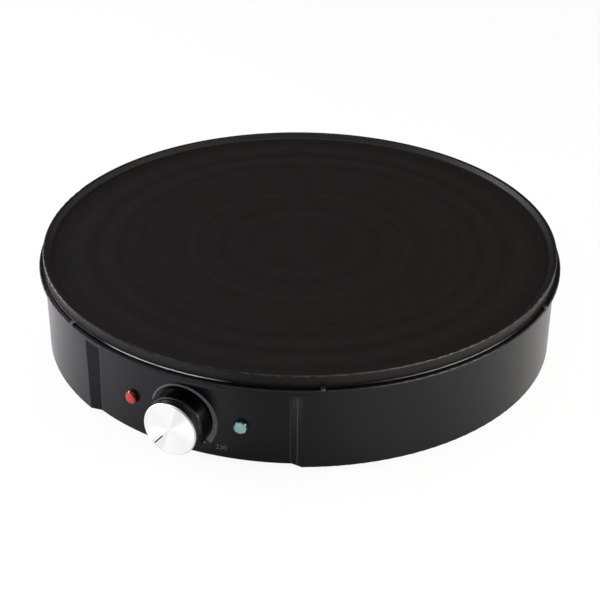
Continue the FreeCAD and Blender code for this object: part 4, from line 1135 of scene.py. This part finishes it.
@dataclass
class CordGland:
    """The rubber bushing at the back: a collar with a grip groove and a ribbed tapered sleeve."""

    height: float = 22.0 * MM
    inside: float = 146.3 * MM
    collar: float = 153.0 * MM
    sleeve: float = 155.5 * MM
    tip: float = 163.9 * MM
    bore_radius: float = 3.6 * MM
    neck_radius: float = 6.0 * MM
    hook_radius: float = 7.2 * MM
    collar_radius: float = 8.6 * MM
    tip_radius: float = 6.4 * MM
    ribs: int = 5
    groove: float = 0.9 * MM

    def build(self) -> None:
        """Turn the bushing with its through bore."""
        work = Workpiece()
        hook_end = self.inside + 3.0 * MM
        profile = [
            (self.bore_radius, self.inside), (self.hook_radius - 0.9 * MM, self.inside),
            (self.hook_radius, self.inside + 1.6 * MM), (self.hook_radius, hook_end),
            (self.neck_radius, hook_end), (self.neck_radius, self.collar),
            (self.collar_radius - 0.3 * MM, self.collar),
            (self.collar_radius, self.collar + 0.3 * MM),
            (self.collar_radius, self.sleeve - 0.8 * MM),
            (self.collar_radius - 0.25 * MM, self.sleeve - 0.25 * MM),
            (self.collar_radius - 0.8 * MM, self.sleeve)]
        pitch = (self.tip - self.sleeve) / self.ribs
        for rib in range(self.ribs):
            low = self.sleeve + pitch * rib
            outer = (self.hook_radius
                     + (self.tip_radius - self.hook_radius) * (rib + 0.5) / self.ribs)
            root = outer - self.groove
            profile += [(root, low + 0.05 * pitch), (root, low + 0.32 * pitch),
                        (outer - 0.15 * MM, low + 0.42 * pitch), (outer, low + 0.52 * pitch),
                        (outer, low + 0.86 * pitch), (outer - 0.15 * MM, low + 0.96 * pitch)]
        profile += [(self.bore_radius + 0.4 * MM, self.tip),
                    (self.bore_radius, self.tip - 0.4 * MM)]
        work.turn_profile([*profile, profile[0]], 72)
        work.place(facing(Facing.REAR, self.height))
        work.finish("cord_bushing", Body.APPLIANCE, GLAND, ["cord_gland"])


@dataclass
class BaseScrews:
    """The four pan head screws of the base cover, with cross recesses."""

    places: tuple[Point, ...] = ((117.78 * MM, -68.0 * MM), (117.78 * MM, 68.0 * MM),
                                 (-117.78 * MM, 68.0 * MM), (-117.78 * MM, -68.0 * MM))
    seat: float = 4.5 * MM
    face: float = 2.5 * MM
    top: float = 18.8 * MM
    head_radius: float = 3.2 * MM
    shank_radius: float = 1.6 * MM
    recess_radius: float = 1.75 * MM
    recess_depth: float = 1.3 * MM

    def build(self) -> None:
        """Turn each screw, then press its recess into four wings."""
        for number, (x, y) in enumerate(self.places, start=1):
            work = Workpiece()
            rim = self.recess_radius
            work.turn_profile([
                (0.0, self.face + self.recess_depth), (rim * 0.45, self.face + self.recess_depth),
                (rim * 0.8, self.face + 0.2 * MM), (rim, self.face + 0.01 * MM),
                (rim + 0.4 * MM, self.face), (self.head_radius - 0.7 * MM, self.face + 0.15 * MM),
                (self.head_radius - 0.15 * MM, self.face + 0.7 * MM),
                (self.head_radius, self.face + 1.3 * MM), (self.head_radius, self.seat),
                (self.shank_radius, self.seat), (self.shank_radius, self.top - 1.6 * MM),
                (0.3 * MM, self.top), (0.0, self.top)], 64)
            work.flute(4, rim * 0.62, self.face + 0.005 * MM, self.face + 0.02 * MM, rim * 0.9)
            work.flute(4, rim * 0.5, self.face + 0.19 * MM, self.face + 0.21 * MM, rim * 0.7)
            work.place(Matrix.Translation((x, y, 0.0)))
            work.finish(f"cover_screw_{number}", Body.APPLIANCE, STEEL,
                        ["base_screws"] if number == 1 else [], smooth=30.0)


@dataclass
class Foot:
    """A rubber foot with two grip rings round a shallow hollow in its sole."""

    name: str
    node: str
    place: Point
    radius: float = 9.0 * MM
    seat: float = 4.5 * MM
    neck_radius: float = 3.8 * MM
    neck_top: float = 6.8 * MM
    barb_radius: float = 4.8 * MM
    top: float = 10.0 * MM

    def build(self) -> None:
        """Turn the foot's sole, side, neck and barb."""
        work = Workpiece()
        rim = self.radius
        work.turn_profile([
            (0.0, 0.9 * MM), (3.0 * MM, 0.9 * MM), (3.4 * MM, 0.1 * MM), (3.7 * MM, 0.0),
            (4.8 * MM, 0.0), (5.0 * MM, 0.4 * MM), (5.6 * MM, 0.4 * MM), (5.8 * MM, 0.0),
            (rim - 1.0 * MM, 0.0), (rim - 0.3 * MM, 0.3 * MM), (rim, 1.0 * MM),
            (rim, self.seat - 0.25 * MM), (rim - 0.25 * MM, self.seat),
            (self.neck_radius, self.seat),
            (self.neck_radius, self.neck_top), (self.barb_radius - 0.15 * MM, self.neck_top),
            (self.barb_radius, self.neck_top + 0.25 * MM), (self.neck_radius, self.top - 0.2 * MM),
            (self.neck_radius - 0.3 * MM, self.top), (0.0, self.top)], 96)
        work.place(Matrix.Translation((*self.place, 0.0)))
        work.finish(self.name, Body.APPLIANCE, FOOT, [self.node])


@dataclass
class PanelPrint:
    """What is printed on the panel: the sweep round the knob, its end mark and a number."""

    panel_radius: float = 148.4 * MM
    axis_height: float = 25.2 * MM
    proud: float = 0.045 * MM
    centre: Point = (-0.8 * MM, 0.1 * MM)
    start_angle: float = 165.0
    swell_angle: float = 85.0
    end_angle: float = -38.5
    inner_radius: float = 18.65 * MM
    start_radius: float = 19.65 * MM
    end_radius: float = 21.9 * MM
    steps: int = 82
    mark_place: Point = (12.9 * MM, -14.0 * MM)
    number: str = "230"
    number_place: Point = (22.5 * MM, -15.2 * MM)
    number_height: float = 4.2 * MM

    def build(self) -> None:
        """Print the sweep, the mark and the number."""
        self.make_sweep()
        self.make_mark()
        self.make_number()

    def lay(self, work: Workpiece) -> Workpiece:
        """Thicken a flat outline and wrap it onto the round panel.

        Args:
            work: faces at Z = 0, with X to the right and Y up from the knob's axis.

        Returns:
            The same workpiece.
        """
        made = bmesh.ops.extrude_face_region(work.bm, geom=list(work.bm.faces))
        raised = [item for item in made["geom"] if isinstance(item, bmesh.types.BMVert)]
        bmesh.ops.translate(work.bm, vec=(0, 0, 1.0), verts=raised)
        for vert in work.bm.verts:
            away = self.panel_radius + (self.proud if vert.co.z > 0.5 else -0.12 * MM)
            vert.co = (vert.co.x, -math.sqrt(away ** 2 - vert.co.x ** 2),
                       vert.co.y + self.axis_height)
        return work

    def make_sweep(self) -> None:
        """The band that widens clockwise round the knob."""
        work = Workpiece()
        inner, outer = [], []
        for step in range(self.steps + 1):
            turn = self.start_angle + (self.end_angle - self.start_angle) * step / self.steps
            share = max(0.0, (self.swell_angle - turn) / (self.swell_angle - self.end_angle))
            outer_radius = self.start_radius + (self.end_radius - self.start_radius) * share ** 0.8
            for rail, radius in ((inner, self.inner_radius), (outer, outer_radius)):
                angle = math.radians(turn)
                rail.append(work.bm.verts.new((self.centre[0] + radius * math.cos(angle),
                                               self.centre[1] + radius * math.sin(angle), 0)))
        rails = [work.bm.edges.new(pair) for rail in (inner, outer) for pair in zip(rail, rail[1:])]
        bmesh.ops.bridge_loops(work.bm, edges=rails)
        self.lay(work).finish("dial_sweep", Body.APPLIANCE, PRINT_GREY)

    def make_mark(self) -> None:
        """The small wedge at the sweep's end."""
        work = Workpiece()
        bmesh.ops.create_circle(work.bm, cap_ends=True, radius=1.1 * MM, segments=3)
        bmesh.ops.rotate(work.bm, cent=(0, 0, 0), verts=work.bm.verts,
                         matrix=Matrix.Rotation(math.radians(90), 3, "Z"))
        bmesh.ops.translate(work.bm, verts=work.bm.verts, vec=(*self.mark_place, 0))
        self.lay(work).finish("dial_mark", Body.APPLIANCE, PRINT_GREY)

    def make_number(self) -> None:
        """A plain number beside the sweep's end."""
        curve = bpy.data.curves.new("dial_number_outline", "FONT")
        curve.body = self.number
        curve.size = self.number_height
        curve.align_x, curve.align_y = "CENTER", "CENTER"
        drawn = bpy.data.objects.new("dial_number_outline", curve)
        bpy.context.scene.collection.objects.link(drawn)
        bpy.context.view_layer.update()
        evaluated = drawn.evaluated_get(bpy.context.evaluated_depsgraph_get())
        mesh = bpy.data.meshes.new_from_object(evaluated)
        bpy.data.objects.remove(drawn)
        work = Workpiece()
        work.bm.from_mesh(mesh)
        bmesh.ops.remove_doubles(work.bm, verts=work.bm.verts, dist=0.001 * MM)
        for face in work.bm.faces:
            if face.normal.z < 0:
                face.normal_flip()
        bmesh.ops.translate(work.bm, vec=(*self.number_place, 0.0), verts=work.bm.verts)
        self.lay(work).finish("dial_number", Body.APPLIANCE, PRINT_GREY)


# ---------------------------------------------------------------- stage


@dataclass(frozen=True)
class Softbox:
    """A soft rectangular light.

    Attributes:
        name: its name.
        place: where it hangs.
        aim: what it points at.
        size: its width and height.
        watts: its power.
        tint: its colour.
    """

    name: str
    place: Spot
    aim: Spot
    size: Point
    watts: float
    tint: Colour = (1.0, 1.0, 1.0)

    def hang(self) -> None:
        """Put the light in the scene."""
        light = bpy.data.lights.new(self.name, "AREA")
        light.shape = "RECTANGLE"
        light.size, light.size_y = self.size
        light.energy, light.color = self.watts, self.tint
        lamp = bpy.data.objects.new(self.name, light)
        lamp.location = self.place
        way = Vector(self.aim) - Vector(self.place)
        lamp.rotation_euler = way.to_track_quat("-Z", "Y").to_euler()
        bpy.context.scene.collection.objects.link(lamp)


WHITE, BLACK = (1.0, 1.0, 1.0), (0.0, 0.0, 0.0)
COOL, WARM = (0.965, 0.935, 1.0), (1.0, 0.98, 0.935)
SOFTBOXES = (
    Softbox("top_softbox", (0.0, 0.1, 1.4), (0.0, 0.0, 0.05), (1.0, 0.8), 4.4),
    Softbox("left_softbox", (-0.7, -0.1, 0.3), (-0.22, 0.0, 0.0), (0.5, 0.25), 6.1, COOL),
    Softbox("right_softbox", (0.71, 0.0, 0.3), (0.21, -0.02, 0.0), (0.5, 0.25), 6.2, WARM),
    Softbox("knob_softbox", (-0.5, -0.62, 0.3), (-0.12, -0.28, 0.0), (0.3, 0.2), 1.8, COOL),
)


@dataclass
class Studio:
    """The floor, the soft lights, the world and the camera at the photograph's angle.

    Attributes:
        knob_turn: how far the camera stands to the right of the knob, in degrees.
        distance: how far the camera is from the appliance's middle, in metres.
        elevation: how high it stands, in radians, as are its pitch, yaw and roll.
        sensor: the width of its sensor in millimetres.
        focal_pixels: its focal length in pixels of the photograph.
        frame_pixels: the photograph's width.
        base_height: the height that the camera's distance is measured from.
        floor_size: the floor's width.
        paper: the floor's colour.
        glow: how much of the floor's colour is plain white to the camera.
        painted_floor_shade: how much darker a sector of the floor is painted to every ray but the
        camera's. At 0 the floor is plain.
        painted_floor_shade_sector: the turns where it starts, is full, begins to fade and ends.
        card: how bright the world is to glossy rays outside its wings and its top.
        wings: how bright its left and right wings are.
        wing_reach: how far to the side a wing starts and is full.
        even: the world's colour to diffuse rays.
    """

    knob_turn: float = 25.2
    distance: float = 1.1
    elevation: float = 0.53791861
    pitch: float = 0.52427749
    yaw: float = 0.00027937
    roll: float = 0.00898266
    sensor: float = 36.0
    focal_pixels: float = 1780.99
    frame_pixels: float = 600.0
    base_height: float = 4.0 * MM
    floor_size: float = 8.0
    paper: Colour = (0.88, 0.88, 0.88)
    glow: float = 0.93
    painted_floor_shade: float = 0.42
    painted_floor_shade_sector: tuple[float, ...] = (-30.0, -10.0, -6.0, 24.0)
    card: float = 0.1
    wings: Point = (1.0, 0.95)
    wing_reach: Point = (0.45, 0.85)
    even: Colour = (0.24, 0.24, 0.25)

    def build(self) -> None:
        """Set the whole stage."""
        self.make_floor()
        self.make_world()
        for softbox in SOFTBOXES:
            softbox.hang()
        self.make_camera()
        view = bpy.context.scene.view_settings
        view.view_transform = "Standard"

    def ahead(self, graph: Graph, place: Socket) -> Socket:
        """Coordinates turned so that the camera stands in front."""
        back = (0.0, 0.0, math.radians(-self.knob_turn))
        return graph.add("Mapping", {"Vector": place, "Rotation": back}).outputs[0]

    def make_floor(self) -> None:
        """A pale floor that keeps the appliance's soft shadow, with a sector of painted shade
        hidden from the camera.
        """
        work = Workpiece()
        bmesh.ops.create_grid(work.bm, x_segments=2, y_segments=2, size=self.floor_size / 2)
        mesh = bpy.data.meshes.new("studio_floor")
        work.bm.to_mesh(mesh)
        work.bm.free()
        mesh.transform(Matrix.Translation((0.0, 0.0, -0.1 * MM)))
        floor = bpy.data.objects.new("studio_floor", mesh)
        bpy.context.scene.collection.objects.link(floor)
        material = bpy.data.materials.new("studio paper")
        material.use_nodes = True
        material.node_tree.nodes.clear()
        graph = Graph(material.node_tree)
        camera_ray = graph.add("LightPath").outputs["Is Camera Ray"]
        turn = graph.turn(self.ahead(graph, graph.object_place()))
        other_ray = graph.math("SUBTRACT", 1.0, camera_ray)
        # Painted shade: a sector of the floor is darker to every ray but the camera's.
        dark = graph.math("MULTIPLY", graph.sector(turn, self.painted_floor_shade_sector), other_ray)
        tone = graph.blend(graph.math("MULTIPLY", dark, self.painted_floor_shade), self.paper, BLACK)
        paper = graph.add("BsdfDiffuse", {"Color": tone})
        glow = graph.add("Emission", {"Color": WHITE, "Strength": 1.0})
        share = graph.math("MULTIPLY", camera_ray, self.glow)
        both = graph.add("MixShader", {0: share, 1: paper.outputs[0], 2: glow.outputs[0]})
        graph.add("OutputMaterial", {"Surface": both.outputs[0]})
        mesh.materials.append(material)

    def make_world(self) -> None:
        """White to the camera, even to diffuse rays, and dark with bright sides to the rest."""
        world = bpy.data.worlds.new("studio")
        bpy.context.scene.world = world
        world.use_nodes = True
        world.node_tree.nodes.clear()
        graph = Graph(world.node_tree)
        way = self.ahead(graph, graph.add("TexCoord").outputs["Generated"])
        parts = graph.add("SeparateXYZ", {0: way})
        start, full = self.wing_reach
        left = graph.spread(parts.outputs[0], -start, -full, self.card, self.wings[0], smooth=True)
        right = graph.spread(parts.outputs[0], start, full, self.card, self.wings[1], smooth=True)
        wings = graph.math("MAXIMUM", left, right)
        above = graph.spread(parts.outputs[2], 0.55, 0.85, 0.0, 0.9, smooth=True)
        front = graph.spread(parts.outputs[1], 0.3, -0.2, 0.15, 1.0, smooth=True)
        level = graph.math("MAXIMUM", wings, graph.math("MULTIPLY", above, front))
        studio = graph.blend(level, BLACK, (1.0, 1.0, 1.01))
        rays = graph.add("LightPath")
        dim = graph.blend(rays.outputs["Is Diffuse Ray"], studio, self.even)
        colour = graph.blend(rays.outputs["Is Camera Ray"], dim, WHITE)
        background = graph.add("Background", {"Color": colour, "Strength": 1.0})
        graph.add("OutputWorld", {"Surface": background.outputs[0]})

    def make_camera(self) -> None:
        """The camera, where the photograph was taken from."""
        turn = Matrix.Rotation(math.radians(self.knob_turn), 3, "Z")
        place = turn @ Vector((0.0, -self.distance * math.cos(self.elevation),
                               self.distance * math.sin(self.elevation)))
        ahead = turn @ Vector((math.sin(self.yaw) * math.cos(self.pitch),
                               math.cos(self.yaw) * math.cos(self.pitch), -math.sin(self.pitch)))
        right = ahead.cross(Vector((0, 0, 1))).normalized()
        above = right.cross(ahead)
        tilted = math.cos(self.roll) * right + math.sin(self.roll) * above
        upright = -math.sin(self.roll) * right + math.cos(self.roll) * above
        data = bpy.data.cameras.new("camera")
        data.sensor_width = self.sensor
        data.lens = self.sensor * self.focal_pixels / self.frame_pixels
        data.clip_start, data.clip_end = 0.05, 30.0
        camera = bpy.data.objects.new("camera", data)
        axes = Matrix((tilted, upright, -ahead)).transposed().to_4x4()
        camera.matrix_world = Matrix.Translation(place + Vector((0, 0, self.base_height))) @ axes
        bpy.context.scene.collection.objects.link(camera)
        bpy.context.scene.camera = camera


def dress_nodes() -> None:
    """Give every node of the frame its finish."""
    for name, finish in NODE_FINISHES.items():
        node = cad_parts[name]
        material = finish.material()
        if node.data.materials:
            for number in range(len(node.data.materials)):
                node.data.materials[number] = material
        else:
            node.data.materials.append(material)


def main() -> None:
    """Dress the frame, add the finer pieces and set the stage."""
    logging.basicConfig(level=logging.INFO, format="%(message)s")
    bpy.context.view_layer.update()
    dress_nodes()
    HousingStep().build()
    PlateLip().build()
    KnobDress().build()
    LampDress("red_lamp_jewel", LENS_RED, -13.1, "red_lamp_lens").build()
    LampDress("green_lamp_jewel", LENS_GREEN, 13.1, "green_lamp_lens").build()
    CordGland().build()
    BaseScrews().build()
    for corner, x, y in (("front_left", -67.68, -96.66), ("front_right", 67.68, -96.66),
                         ("rear_right", 67.68, 96.66), ("rear_left", -67.68, 96.66)):
        Foot(f"rubber_foot_{corner}", f"foot_{corner}", (x * MM, y * MM)).build()
    PanelPrint().build()
    Studio().build()


if __name__ == "__main__":
    main()
